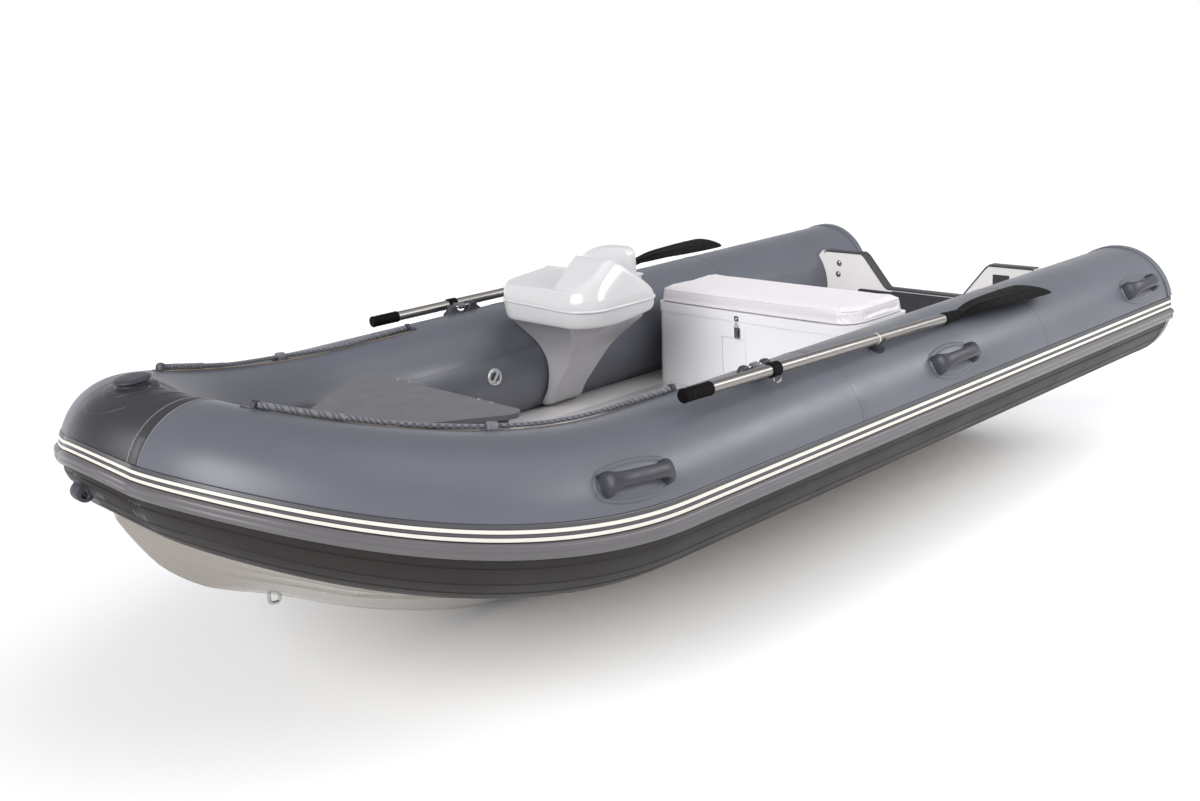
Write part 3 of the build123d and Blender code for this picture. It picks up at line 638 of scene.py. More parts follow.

# belts under the rail, on fabric darkened as painted shade of the tube's underside
UNDER = [(-112.0, -0.6), (-111.8, 1.0)] + [(-108.0 + 3.0 * k, 1.3) for k in range(16)] + [(-62.2, 1.4), (-61.8, 3.2), (-59.0, 3.5), (-56.0, 3.5), (-53.0, 3.4), (-50.0, 3.2), (-49.5, 1.4), (-47.0, 1.3),
         (-44.6, 1.3), (-44.3, 2.9), (-41.0, 3.1), (-37.8, 2.9), (-37.5, 1.3), (-35.0, 1.3), (-32.0, 1.3), (-29.4, 1.3), (-29.0, 3.6), (-27.0, 4.2), (-24.0, 4.2), (-22.2, 3.6), (-21.8, 1.3), (-19.5, 1.3), (-16.8, 1.3), (-14.4, 1.1), (-14.2, -0.6)]
band("under_skin", ALL, UNDER, "under_fabric", sharp=40, slot="bow_fabric")

# seam tapes
for word, side in (("port", 1), ("starboard", -1)):
    sp = Soup()
    for x in (-1000.0, 60.0):
        ring_tape(sp, t_of_x(x), side, 26.0, 0.8, 10.5, 248.0)
    ring_tape(sp, AFT_T + 8, side, 30.0, 4.6, 10.5, 346.0)
    # long tape on the inboard side
    prof = [(153.2, -0.6), (153.4, 0.8), (158.4, 0.8), (158.6, -0.6)]
    st = STR[1:] + BENDT[:-2]
    verts = [tpt(t, a, side, h) for t in st for a, h in prof]
    fc = grid_faces(len(st), 4, False, True) + [(0, 1, 2, 3), tuple(reversed(range(len(verts) - 4, len(verts))))]
    sp.add(verts, fc)
    sp.build(word + "_seam_tapes", "tube_tape", slot="tube_fabric", sharp=50)
    sp = Soup()
    lo = 10.2 + lift(SEAM_T)
    for off, wd, hh, mi in ((0.004, 22.0, 1.2, 0), (-0.010, 2.6, 1.9, 1), (0.017, 2.6, 1.9, 1)):
        ring_tape(sp, SEAM_T + off, side, wd, hh, lo, 340.0 + lift(SEAM_T), mi=mi)
    sp.build(word + "_bow_seam", ["bow_fabric", "seam_light"], slot="bow_fabric", sharp=50)

# ------------------------------------------------------------------ bow fittings
sp = Soup()
patch_into(sp, 1.0, 95.0, 1, oval(118, 132, 2.2), 2.0, rings=9, n=64)
patch_into(sp, 1.0, 95.0, 1, oval(74, 78), 4.0, rings=6, n=56)
sp.build("bow_patches", "bow_fabric", slot="bow_fabric", sharp=60)
nose_n = Vector((math.cos(rad(95)), 0, math.sin(rad(95))))
bo = Vector((NOSE_X, 0, NOSE_Z)) + nose_n * NOSE_R
tilt = Matrix.Rotation(rad(9), 3, "Y")
bn = (tilt @ nose_n).normalized()
sp = Soup()
lathe(sp, bo, bn, [(-14, 61), (-3, 61.5), (0.5, 60), (3.0, 56), (4.5, 47), (6.5, 42), (10, 40), (14, 41.5), (15.5, 45), (16.6, 47.6), (18.6, 48), (21, 46.5), (23.2, 42), (24.2, 34), (24.6, 20), (24.6, 6), (24.6, 0.05)], 56)
bx, by = axes_for(bn)
ob = sp.build("mooring_bitt", "fitting_rubber", slot="fitting_rubber", sharp=50)
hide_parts("bow_bitt")
sp = Soup()
for k in range(6):
    g = 2 * math.pi * k / 6 + 0.3
    c = bo + bx * (54.5 * math.cos(g)) + by * (54.5 * math.sin(g))
    lathe(sp, c + bn * 1.0, bn, [(0, 4.2), (1.4, 4.2), (2.2, 3.0), (2.4, 0.05)], 14)
sp.build("bitt_studs", "steel", slot="steel", sharp=40)

# tow eye pad, a long patch and the eye lug on its boss
sp = Soup()
patch_into(sp, 1.0, -24.0, 1, oval(52, 50), 3.0, rings=5, n=48)
patch_into(sp, 1.0, -20.0, 1, oval(88, 34, 2.8), 1.8, rings=5, n=48)
sp.build("tow_eye_patches", "bow_fabric", slot="bow_fabric", sharp=60)
sp = Soup()
EX, EZ = 1987.0, 737.0
LX, LZ = 1983.0, 742.0
prof = [(-22, 19.5), (-20.5, 23), (-18, 24.6), (-15, 25), (15, 25), (18, 24.6), (20.5, 23), (22, 19.5)]
rings = []
n = 40
ns = len(prof)
for yy, r in prof:
    rings.append([Vector((LX + r * math.cos(2 * math.pi * k / n), yy, LZ + r * math.sin(2 * math.pi * k / n))) for k in range(n)])
hole = []
for yy in [p[0] for p in prof]:
    q = 6.5 + max(0.0, abs(yy) - 18.0) * 0.8
    hole.append([Vector((EX + q * math.cos(2 * math.pi * k / n), yy, EZ + q * math.sin(2 * math.pi * k / n))) for k in range(n)])
allr = rings + list(reversed(hole))
verts = [p for r in allr for p in r]
sp.add(verts, grid_faces(len(allr), n, True, True))
lathe(sp, Vector((1968, 0, 752)), Vector((math.cos(rad(-24)), 0, math.sin(rad(-24)))), [(-8, 43), (0, 43), (3.5, 41), (5.5, 34), (9, 29), (14, 26), (18, 20), (19, 0.05)], 48)
ob = sp.build("tow_eye_lug", "fitting_rubber", slot="fitting_rubber", sharp=50)
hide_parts("tow_eye")

# ------------------------------------------------------------------ grab handles
HX = [960.0, -430.0, -1690.0]
for word, side in (("port", 1), ("starboard", -1)):
    sp = Soup()
    sb = Soup()
    for x in HX:
        t0 = t_of_x(x)
        patch_into(sp, t0, 30.0, side, slot_shape(112, 56), 5.0, rings=8, n=64, mi=0)
        patch_into(sp, t0, 30.0, side, slot_shape(100, 44), 8.5, rings=6, n=64, mi=0)
        o, d, w, nrm = local(t0, 30.0, side)
        rings = []
        m = 44
        for i in range(m + 1):
            g = math.pi * i / m
            c, s = math.cos(g), math.sin(g)
            xx = -92 * math.copysign(abs(c) ** 0.55, c)
            zz = 3 + 46 * abs(s) ** 0.50
            g2 = min(max(g, 0.02), math.pi - 0.02)
            # direction along the arch
            e = 0.02
            def pos(a):
                ca, sa = math.cos(a), math.sin(a)
                return (-92 * math.copysign(abs(ca) ** 0.55, ca), 3 + 46 * max(sa, 0.0) ** 0.50)
            a0, a1 = pos(max(g - e, 0.0)), pos(min(g + e, math.pi))
            tx, tz = a1[0] - a0[0], a1[1] - a0[1]
            ln = math.hypot(tx, tz)
            tx, tz = tx / ln, tz / ln
            fl = (abs(xx) / 92) ** 8
            hw = 19.0 + 14.0 * fl
            ht = 12.5 + 4.0 * fl
            P0 = o + d * xx + nrm * zz
            nz = nrm * tx - d * tz
            rings.append([P0 + w * (hw * math.copysign(abs(math.cos(q)) ** 0.8, math.cos(q))) + nz * (ht * math.copysign(abs(math.sin(q)) ** 0.8, math.sin(q)))
                          for q in [2 * math.pi * k / 20 for k in range(20)]])
        sb.loops(rings, True)
        # eyelet on the pad
        lathe(sb, o + d * 106 + w * 26 + nrm * 3, nrm, [(0, 5.5), (3.0, 5.5), (3.6, 4.4), (3.6, 2.6), (1.5, 2.2), (1.4, 0.05)], 20)
    a = sp.build(word + "_handle_pads", "tube_tape", slot="fitting_rubber", sharp=60)
    b = sb.build(word + "_handle_bars", "fitting_rubber", slot="fitting_rubber", sharp=60)
    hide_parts(word + "_grab_handles")

# ------------------------------------------------------------------ rope eyes
ROPES = {1: (1650.0, 1179.0, 597.0), -1: (1540.0, 1047.0, 537.0)}
RPHI = {1: 105.0, -1: 100.0}


def near_t(x_skin, phi, out=10.0):
    hi = 0.785 - 1e-4
    lo = -2000.0
    # x on the skin grows with t on this stretch
    best = None
    tt = -900.0
    while tt < hi:
        p = tpt(tt, phi, 1, out)
        if best is None or abs(p.x - x_skin) < best[0]:
            best = (abs(p.x - x_skin), tt)
        tt += 4.0 if tt < -4 else (0.002 if tt >= 0 else -tt + 1e-9)
    return best[1]


for word, side in (("port", 1), ("starboard", -1)):
    sp = Soup()
    for k, x in enumerate((ROPES[side][0] + 4, ROPES[side][1], ROPES[side][2] - 10)):
        phi = RPHI[side]
        t0 = near_t(x, phi)
        patch_into(sp, t0, phi, side, slot_shape(35, 17), 2.4, rings=4, n=40)
        o, d, w, nrm = local(t0, phi, side)
        half = 6.0
        if k == 1:
            half = 14.0
        # rounded lug with the rope passing through it
        prof = []
        for i in range(25):
            g = math.pi * i / 24
            prof.append((13.5 * math.cos(g), 11.0 + 12.0 * math.sin(g)))
        prof = [(13.5, -3.0)] + prof + [(-13.5, -3.0)]
        rr = [[o + d * q + w * (a * sc) + nrm * (b if b < 0 else b * sc) for a, b in prof] for q, sc in ((-half, 0.90), (-half + 1.6, 1.0), (half - 1.6, 1.0), (half, 0.90))]
        sp.loops(rr, True, 1 if k == 1 else 0)
    a = sp.build(word + "_rope_holders", ["fitting_rubber", "fitting_pale"], slot="fitting_rubber", sharp=50)
    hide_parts(word + "_rope_eyes")
    # spliced ends: a loop of the rope through the eye and a served length behind it
    sp = Soup()
    pts = [p * 1000 for p in LINES[word]]
    for seq in (pts, list(reversed(pts))):
        strands(sp, seq[0:64], 7.8, 4, 30.0, 7, (0, 1))
        strands(sp, seq[0:36], 10.0, 5, 34.0, 7, (1, 0))
    sp.build(word + "_rope_splices", ["rope", "rope_pale"], slot="rope", sharp=60)
    # thin cord stitched along under the rope
    sp = Soup()
    line = []
    t1, t2 = near_t(ROPES[side][2] - 10, RPHI[side] + 2), near_t(ROPES[side][0] + 10, RPHI[side] + 2)
    total = [t1 + (t2 - t1) * i / 90 for i in range(91)] if t1 >= 0 else [t1 * (1 - i / 30) for i in range(30)] + [t2 * i / 60 for i in range(61)]
    for t in total:
        line.append(tpt(t, RPHI[side] + (6.5 if side > 0 else 5.0), side, 1.6))
    tube_into(sp, line, 1.2, 8)
    sp.build(word + "_tube_piping", "tan_cord", slot="rope")

# ------------------------------------------------------------------ hull
HULL = [(-1630, 6, 40, 470, 250, 592, 336, 640, 368), (600, 6, 40, 470, 250, 592, 336, 640, 368), (835, 34, 36, 462, 262, 590, 338, 636, 369),
        (987, 72, 32, 445, 280, 578, 348, 620, 384), (1129, 121, 28, 415, 308, 555, 368, 590, 406), (1264, 176, 24, 375, 338, 512, 398, 545, 438),
        (1383, 235, 20, 325, 365, 450, 430, 480, 475), (1538, 315, 16, 230, 430, 335, 490, 370, 545), (1650, 365, 14, 160, 480, 240, 540, 280, 600),
        (1729, 408, 12, 105, 520, 165, 580, 200, 650), (1819, 487, 10, 55, 575, 85, 625, 110, 700), (1880, 580, 8, 28, 630, 42, 664, 55, 715), (1914, 646, 6, 12, 672, 18, 690, 22, 720)]


def hull_row(x):
    if x <= 600:
        return HULL[0][1:]
    return spline_rows(HULL[1:], x)


def hull_section(x):
    kz, k, cy, cz, sy, sz, ty, tz = hull_row(x)
    half = [(0.0, kz), (k * 0.7, kz), (k, kz + 1.0)]
    # bottom panel with two spray rails, then a rounded chine
    for f in (0.16, 0.30, 0.44, 0.455, 0.475, 0.60, 0.72, 0.735, 0.755, 0.86, 0.94):
        y = lerp(k, cy, f)
        z = lerp(kz, cz, f) + 0.045 * (cz - kz) * math.sin(math.pi * f)
        if f in (0.455, 0.735):
            z -= 7.0 * min(1.0, cy / 400)
        half.append((y, z))
    half += [(cy, cz), (cy + 0.06 * (sy - cy) + 4, cz + 1.5), (lerp(cy, sy, 0.35), lerp(cz, sz, 0.30)), (lerp(cy, sy, 0.7), lerp(cz, sz, 0.62)), (sy, sz), (lerp(sy, ty, 0.5), lerp(sz, tz, 0.5)), (ty, tz)]
    return [Vector((x, -y, z)) for y, z in reversed(half)] + [Vector((x, y, z)) for y, z in half[1:]]


xs = [-1630.0 + i * 2230.0 / 16 for i in range(17)] + [600 + i * (1914 - 600) / 60 for i in range(1, 61)]
secs = [hull_section(x) for x in xs]
nv = len(secs[0])
verts = [p for s in secs for p in s]
faces = grid_faces(len(xs), nv)
# close the top forward of the cockpit, the stern and the stem
base = len(verts)
for i, x in enumerate(xs):
    if x >= 870 and i + 1 < len(xs):
        faces.append((i * nv, (i + 1) * nv, (i + 2) * nv - 1, (i + 1) * nv - 1))
faces.append(tuple(range(nv)))
faces.append(tuple(reversed(range((len(xs) - 1) * nv, len(xs) * nv))))
ob = make("hull_shell", verts, faces, "hull_gelcoat", slot="hull_gelcoat", sharp=28)
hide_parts("hull")
rows = []
for i in range(61):
    x = 596.0 + i * (1400.0 - 596.0) / 60
    kz, k, cy, cz = hull_row(x)[:4]
    w = lerp(26.0, 6.0, i / 60)
    f = w / max(cy, 60.0)
    zs = kz + (cz - kz) * max(0.0, w - k) / max(cy - k, 60.0)
    rows.append([Vector((x, -w, zs + 3.0)), Vector((x, -w, zs - 1.8)), Vector((x, -w * 0.6, kz - 2.6)), Vector((x, 0.0, kz - 2.9)), Vector((x, w * 0.6, kz - 2.6)), Vector((x, w, zs - 1.8)), Vector((x, w, zs + 3.0))])
sp = Soup()
sp.loops(rows, True)
sp.build("keel_strip", "black_rubber", slot="black_rubber", sharp=50)
# cockpit side walls and forward bulkhead below the floor level stay inside the hull shell

# ------------------------------------------------------------------ CAD nodes that stay, with their materials and softened edges
def keep(node, mat, bevel=None, segs=3, sharp=None):
    o = NODES[node]
    o.data.materials.clear()
    o.data.materials.append(M[mat])
    if bevel:
        bv = o.modifiers.new("round", "BEVEL")
        bv.width = bevel * 0.001
        bv.segments = segs
        bv.limit_method = "ANGLE"
        bv.angle_limit = rad(40)
    return o


keep("keel_guard", "black_rubber", 1.5)
keep("floor_deck", "deck_gelcoat")
keep("transom", "deck_gelcoat", 5.0)
keep("motor_pads", "dark_pad", 2.0)
keep("bow_locker_box", "console_grey", 2.0)
keep("bow_locker_lid", "lid_grey", 4.0)
keep("seat_box", "white_gelcoat", 4.0)
keep("seat_lid", "white_gelcoat", 4.0)
keep("keel_ubolt", "steel")
keep("drain_plugs", "dark_pad", 1.5)
for w in ("port", "starboard"):
    keep(w + "_oar_shaft", "oar_aluminium")
    keep(w + "_oar_collar", "oar_black", 2.0)
    keep(w + "_oar_arm", "fitting_pale", 1.5)
    keep(w + "_oar_clip", "fitting_rubber", 1.5)

# ------------------------------------------------------------------ seat cushion, blown up a little by simulation and crowned
SX0, SX1, SY, LZ0, LZ1 = -827.0, -501.0, 465.0, 698.3, 757.0


def rounded_rect(x0, x1, y0, y1, r0, r1, n=10, r2=None):
    """Corner radii r0 on the x0 side and r1 on the x1 side, r2 at the x1, y1 corner."""
    pts = []
    for cx, cy, r, a0 in ((x1, y1, r2 or r1, 0), (x0, y1, r0, 90), (x0, y0, r0, 180), (x1, y0, r1, 270)):
        ox = cx - r if cx == x1 else cx + r
        oy = cy - r if cy == y1 else cy + r
        for k in range(n + 1):
            g = rad(a0 + 90.0 * k / n)
            pts.append((ox + r * math.cos(g), oy + r * math.sin(g)))
    return pts


def cushion():
    inset = 7.0
    rings = []
    for z, q in ((LZ0 + 0.6, 6.0), (LZ0 + 4.0, 1.5), (LZ0 + 14, 0.0), (LZ1 - 20, 0.0), (LZ1 - 10, 2.0), (LZ1 - 5.0, 7.0)):
        rings.append([Vector((x, y, z)) for x, y in rounded_rect(SX0 + inset + q, SX1 - inset - q, -SY + inset + q, SY - inset - q, 26, 38, 10, 84)])
    v = [p for r in rings for p in r]
    n = len(rings[0])
    f = grid_faces(len(rings), n, False, True)
    f.append(tuple(range(n)))
    f.append(tuple(reversed(range((len(rings) - 1) * n, len(rings) * n))))
    ob = make("seat_cushion_pad", v, f, "cushion_vinyl", body="seat_top", slot="cushion_vinyl")
    vl = bpy.context.view_layer
    home = ob.parent
    ob.parent = None
    rm = ob.modifiers.new("remesh", "REMESH")
    rm.mode = "VOXEL"
    rm.voxel_size = 0.006
    dg = bpy.context.evaluated_depsgraph_get()
    me = bpy.data.meshes.new_from_object(ob.evaluated_get(dg))
    ob.modifiers.clear()
    ob.data = me
    start = [p.co.copy() for p in me.vertices]
    cl = ob.modifiers.new("cloth", "CLOTH")
    st = cl.settings
    st.quality = 5
    st.mass = 0.3
    st.use_pressure = True
    st.uniform_pressure_force = 4.0
    st.effector_weights.gravity = 0.0
    st.tension_stiffness = 20
    st.compression_stiffness = 20
    st.bending_stiffness = 2.0
    # the underside rests on the board
    vg = ob.vertex_groups.new(name="pin")
    vg.add([i for i, p in enumerate(start) if p.z < (LZ0 + 6) * 0.001], 1.0, "ADD")
    st.vertex_group_mass = "pin"
    cl.collision_settings.use_collision = False
    for fr in range(1, 21):
        scene.frame_set(fr)
    dg = bpy.context.evaluated_depsgraph_get()
    ev = ob.evaluated_get(dg).data
    end = [p.co.copy() for p in ev.vertices]
    ob.modifiers.clear()
    ob.vertex_groups.clear()
    scene.frame_set(1)
    cap = 0.0075
    for p, a, b in zip(me.vertices, start, end):
        mv = b - a
        if mv.length > cap:
            mv *= cap / mv.length
        p.co = a + mv
    for m in list(me.materials):
        pass
    me.materials.clear()
    me.materials.append(M["cushion_vinyl"])
    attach(ob, "seat_top")
    # crown with lowered edges, and held inside the space of the pad
    me = ob.data
    for p in me.vertices:
        x, y, z = p.co * 1000
        if z > LZ0 + 20:
            fx = min(1.0, min(x - SX0, SX1 - x) / 60.0)
            fy = min(1.0, min(y + SY, SY - y) / 90.0)
            z += 4.0 * sstep(fx) * sstep(fy) - 2.0 * (1 - sstep(fx * fy))
        z = min(max(z, LZ0 + 0.3), LZ1)
        x = min(max(x, SX0 + 0.5), SX1 - 0.5)
        y = min(max(y, -SY + 0.5), SY - 0.5)
        p.co = (x * 0.001, y * 0.001, z * 0.001)
    for p in me.polygons:
        p.use_smooth = True
    sm = ob.modifiers.new("fine", "SUBSURF")
    sm.levels = sm.render_levels = 1
    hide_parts("seat_cushion")
    # piping sewn into the top and bottom seams, laid on the skin of the pad
    skin = BVHTree.FromPolygons([p.co * 1000 for p in me.vertices], [tuple(p.vertices) for p in me.polygons])
    sp = Soup()
    for z, q in ((LZ1 - 9.0, 4.6), (LZ0 + 5.0, 4.0)):
        sp_pts = [Vector((x, y, z)) for x, y in rounded_rect(SX0 + q, SX1 - q, -SY + q, SY - q, 28, 40, 12, 86)]
        for k in range(3):
            fixed = []
            for p in sp_pts:
                loc, nrm = skin.find_nearest(p)[:2]
                fixed.append(Vector((loc.x, loc.y, lerp(p.z, loc.z, 0.5))) + Vector((nrm.x, nrm.y, 0.0)) * 0.4)
            m = len(fixed)
            sp_pts = [(fixed[i - 1] + fixed[i] * 2 + fixed[(i + 1) % m]) * 0.25 for i in range(m)]
        sp_pts = [Vector((min(max(p.x, SX0 + 3), SX1 - 3), min(max(p.y, -SY + 3), SY - 3), p.z)) for p in sp_pts]
        tube_into(sp, sp_pts, 2.6, 10, closed=True)
    sp.build("seat_cushion_piping", "cushion_vinyl", body="seat_top", slot="cushion_vinyl")


cushion()

# ------------------------------------------------------------------ console pedestal
PED = [(380, -584, -150, 6, -574, -2, -566), (404, -556, -122, 45, -530, 32, -516), (460, -514, -110, 52, -484, 38, -468), (510, -499, -111, 52, -441, 39, -426),
       (565, -493, -115, 56, -399, 45, -380), (613, -502, -120, 66, -357, 50, -339), (655, -518, -121, 84, -317, 58, -289), (711, -560, -115, 119, -270, 55, -206), (752, -578, -112, 150, -246, 38, -148)]


def round_poly(poly, radii, n=5):
    out = []
    m = len(poly)
    for i, p in enumerate(poly):
        a, b = poly[i - 1], poly[(i + 1) % m]
        da, db = Vector(a) - Vector(p), Vector(b) - Vector(p)
        r = min(radii[i], da.length * 0.45, db.length * 0.45)
        pa, pb = Vector(p) + da.normalized() * r, Vector(p) + db.normalized() * r
        for k in range(n + 1):
            f = k / n
            out.append(pa * (1 - f) ** 2 + Vector(p) * 2 * f * (1 - f) + pb * f * f)
    return out


rings = []
for i in range(57):
    z = 380.4 + (751.8 - 380.4) * i / 56
    y0, x0, x1, yc, xc, y1 = spline_rows(PED, z)
    poly = [(x0, y0), (x1, y0), (x1, yc), (xc, y1), (x0, y1)]
    rings.append([Vector((p.x, p.y, z)) for p in round_poly(poly, (6, 8, 9, 9, 10))])
top = rings[-1]
for k in range(1, 7):
    f = k / 6
    rings.append([Vector((p.x + (p.x - 20) * 0.05 * f, p.y + (p.y + 360) * 0.05 * f, 752 + 32 * f)) for p in top])
for r in rings:
    for p in r:
        d = math.hypot(p.y + TUBE_Y, p.z - TUBE_Z)
        if d < TUBE_R + 3.2:
            p.y = -TUBE_Y + math.sqrt(max(0.0, (TUBE_R + 3.2) ** 2 - (p.z - TUBE_Z) ** 2))
sp = Soup()
sp.loops(rings, True)
ob = sp.build("console_leg", "console_grey", slot="console_grey", sharp=32)
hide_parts("console_pedestal")

# ------------------------------------------------------------------ console top
CX0, CX1, CY0, CY1 = -195.0, 200.0, -602.0, -112.0


CR = (118.0, 88.0, 72.0, 92.0)      # corner radii: bow port, aft port, aft starboard, bow starboard


def four_round(x0, x1, y0, y1, rr, n=12):
    pts = []
    for cx, cy, r, a0 in ((x1, y1, rr[0], 0), (x0, y1, rr[1], 90), (x0, y0, rr[2], 180), (x1, y0, rr[3], 270)):
        ox = cx - r if cx == x1 else cx + r
        oy = cy - r if cy == y1 else cy + r
        for k in range(n + 1):
            g = rad(a0 + 90.0 * k / n)
            pts.append((ox + r * math.cos(g), oy + r * math.sin(g)))
    return pts


def ring_pts(x0, x1, y0, y1, r, z, n=12):
    """Rounded rectangle with evenly shared points on the straights."""
    base = four_round(x0, x1, y0, y1, [max(16.0, c + r - 60.0) for c in CR], n)
    out = []
    m = len(base)
    for i, p in enumerate(base):
        q = base[(i + 1) % m]
        out.append(Vector((p[0], p[1], z)))
        L = math.hypot(q[0] - p[0], q[1] - p[1])
        if L > 40:
            k = 24
            for j in range(1, k):
                out.append(Vector((lerp(p[0], q[0], j / k), lerp(p[1], q[1], j / k), z)))
    return out


def edge_in(x, y):
    """Distance inside the ring's rounded rectangle."""
    cx, cy = (CX0 + CX1) / 2, (CY0 + CY1) / 2
    r = (CR[0] if x > cx else CR[1]) if y > cy else (CR[3] if x > cx else CR[2])
    dx = abs(x - cx) - ((CX1 - CX0) / 2 - r)
    dy = abs(y - cy) - ((CY1 - CY0) / 2 - r)
    return r - (math.hypot(max(dx, 0), max(dy, 0)) + min(max(dx, dy), 0.0))


def bead(y):
    return 815.0 + 14.0 * (CY1 - y) / (CY1 - CY0)


def console_height(x, y):
    d = max(edge_in(x, y), 0.0)
    b = bead(y) + 4.0
    side = b + 26.0 * (1 - math.exp(-d / 9.0)) + 1.5 * d
    deck = 883.0 + 0.10 * (170.0 - x) + 7.0 * math.exp(-((x + 40.0) / 6.5) ** 2)
    well = smoothmax(838.0, 842.0 + 2.8 * (x + 74.0), 10.0)
    base = smoothmin(smoothmin(side, deck, 9.0), well, 8.0)
    z_bow = 885.0 + (170.0 - x) * 0.60
    z_aft = 953.0 + (x + 26.0) * 0.86
    wall = -350.0 + (x - 24.0) * 0.322
    z_star = 870.0 + (y - wall) * 7.0
    hood = smoothmin(z_bow, b + 2.0 + 3.4 * d, 90.0)
    hood = smoothmin(hood, z_aft, 30.0)
    hood = smoothmin(hood, 974.0, 14.0)
    hood = smoothmin(hood, z_star, 5.0)
    cut = smoothmax(z_aft, 829.0 + (-y - 222.0) * 4.0, 12.0)
    return smoothmax(smoothmin(base, cut, 10.0), hood, 2.0)


def skirt_bottom(x, y):
    return 753.0 + 17.0 * sstep((40.0 - x) / 190.0) * sstep((y + 360.0) / 200.0)


sp = Soup()
outer = ring_pts(CX0 + 4, CX1 - 4, CY0 + 4, CY1 - 4, 60, 0)
cxm, cym = 20.0, -330.0
K = 110
rows = []
for i in range(K + 1):
    q = 1 - (i / K)
    row = []
    for p in outer:
        x, y = lerp(cxm, p.x, q), lerp(cym, p.y, q)
        row.append(Vector((x, y, console_height(x, y) if i else bead(y) + 3.0)))
    rows.append(row)
n = len(outer)
under = []
for dz, q in ((2.4, -0.6), (1.2, -2.6), (-0.8, -3.6), (-3.2, -3.6), (-5.2, -2.6), (-6.4, -0.6), (-7.4, 0.6)):
    row = ring_pts(CX0 + 4 + q, CX1 - 4 - q, CY0 + 4 + q, CY1 - 4 - q, 60, 0)
    under.append([Vector((p.x, p.y, bead(p.y) + dz)) for p in row])
for f, q in ((0.90, 0.4), (0.74, 0.6), (0.60, 1.0), (0.46, 1.8), (0.32, 3.0), (0.20, 4.6), (0.10, 7.0), (0.04, 10.0), (0.005, 16.0)):
    row = ring_pts(CX0 + 4 + q, CX1 - 4 - q, CY0 + 4 + q, CY1 - 4 - q, max(20, 60 - q * 0.4), 0)
    under.append([Vector((p.x, p.y, lerp(skirt_bottom(p.x, p.y), bead(p.y) - 7.4, f))) for p in row])
for up, q in ((0.4, 24.0), (3.0, 34), (8, 60), (10, 110)):
    row = ring_pts(CX0 + 4 + q, CX1 - 4 - q, CY0 + 4 + q, CY1 - 4 - q, max(20, 60 - q * 0.4), 0)
    under.append([Vector((p.x, p.y, skirt_bottom(p.x, p.y) + up)) for p in row])
allrows = list(reversed(under)) + rows
verts = [p for r in allrows for p in r]
faces = grid_faces(len(allrows), n, False, True)
faces.append(tuple(range(n)))
sp.add(verts, faces)
ob = sp.build("console_shell", "console_white", slot="white_gelcoat", sharp=34)
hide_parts("console_top")

# instrument panel that stands on the aft part of the console
sp = Soup()
BACK = [(-515, 884), (-515, 925), (-505, 938), (-481, 951), (-455, 961), (-430, 968), (-400, 974), (-369, 978), (-340, 979.6), (-314, 979.8), (-290, 979.6), (-272, 978), (-258, 973), (-248, 964), (-243, 950), (-241, 926), (-240, 884)]
FRONT = [(-470, 884), (-468, 905), (-455, 922), (-440, 936), (-425, 947), (-403, 958.5), (-385, 965), (-359, 971), (-335, 974), (-310, 975), (-288, 975), (-270, 974), (-257, 969.5), (-249, 961), (-244.5, 948), (-242.5, 926), (-241.5, 884)]


def closed_spline(pts, m=4):
    out = []
    for i in range(len(pts) - 1):
        p0, p1, p2, p3 = pts[max(i - 1, 0)], pts[i], pts[i + 1], pts[min(i + 2, len(pts) - 1)]
        for k in range(m):
            t = k / m
            out.append(tuple(0.5 * ((2 * p1[j]) + (-p0[j] + p2[j]) * t + (2 * p0[j] - 5 * p1[j] + 4 * p2[j] - p3[j]) * t * t + (-p0[j] + 3 * p1[j] - 3 * p2[j] + p3[j]) * t ** 3) for j in range(2)))
    out.append(pts[-1])
    return out


bk, fr = closed_spline(BACK), closed_spline(FRONT)
cy, cz = -340.0, 884.0
lay = []
for x, f, g in ((-184.0, 0.0, 0.965), (-183.0, 0.0, 0.988), (-180.0, 0.02, 1.0), (-168.0, 0.14, 1.0), (-158.0, 0.45, 1.0), (-152.0, 0.82, 1.0), (-149.6, 1.0, 1.0), (-148.0, 1.0, 0.985), (-147.2, 1.0, 0.96)):
    lay.append([Vector((x - (z - 884) * 0.02, cy + (y - cy) * g, cz + (z - cz) * g)) for y, z in [(lerp(a[0], b[0], f), lerp(a[1], b[1], f)) for a, b in zip(bk, fr)]])
sp.loops(lay, True)
rr = []
for zz, g in ((832.0, 0.0), (876.0, 0.0), (878.0, 1.0), (879.5, 4.5), (882.0, 5.2), (884.2, 4.5), (885.4, 2.0), (885.8, -4.0)):
    rr.append([Vector((x, y, zz)) for x, y in rounded_rect(-187.0 - g, -124.0 + g, -520.0 - g, -212.0 + g, 16, 16, 6)])
sp.loops(rr, True)
sp.build("console_panel", "console_white", slot="white_gelcoat", sharp=34)

# ------------------------------------------------------------------ oars
OAR = {1: ((350.0, 822.0, 797.0), 1.7), -1: ((226.0, 814.0, 788.0), 0.3)}
SLIDE = {1: 0.0, -1: -18.0}


def place_oar(p, side):
    (ox, oy, oz), a = OAR[side]
    g = rad(a)
    x, y, z = p
    return Vector((ox + x * math.cos(g) - z * math.sin(g), side * (oy + y), oz + x * math.sin(g) + z * math.cos(g)))


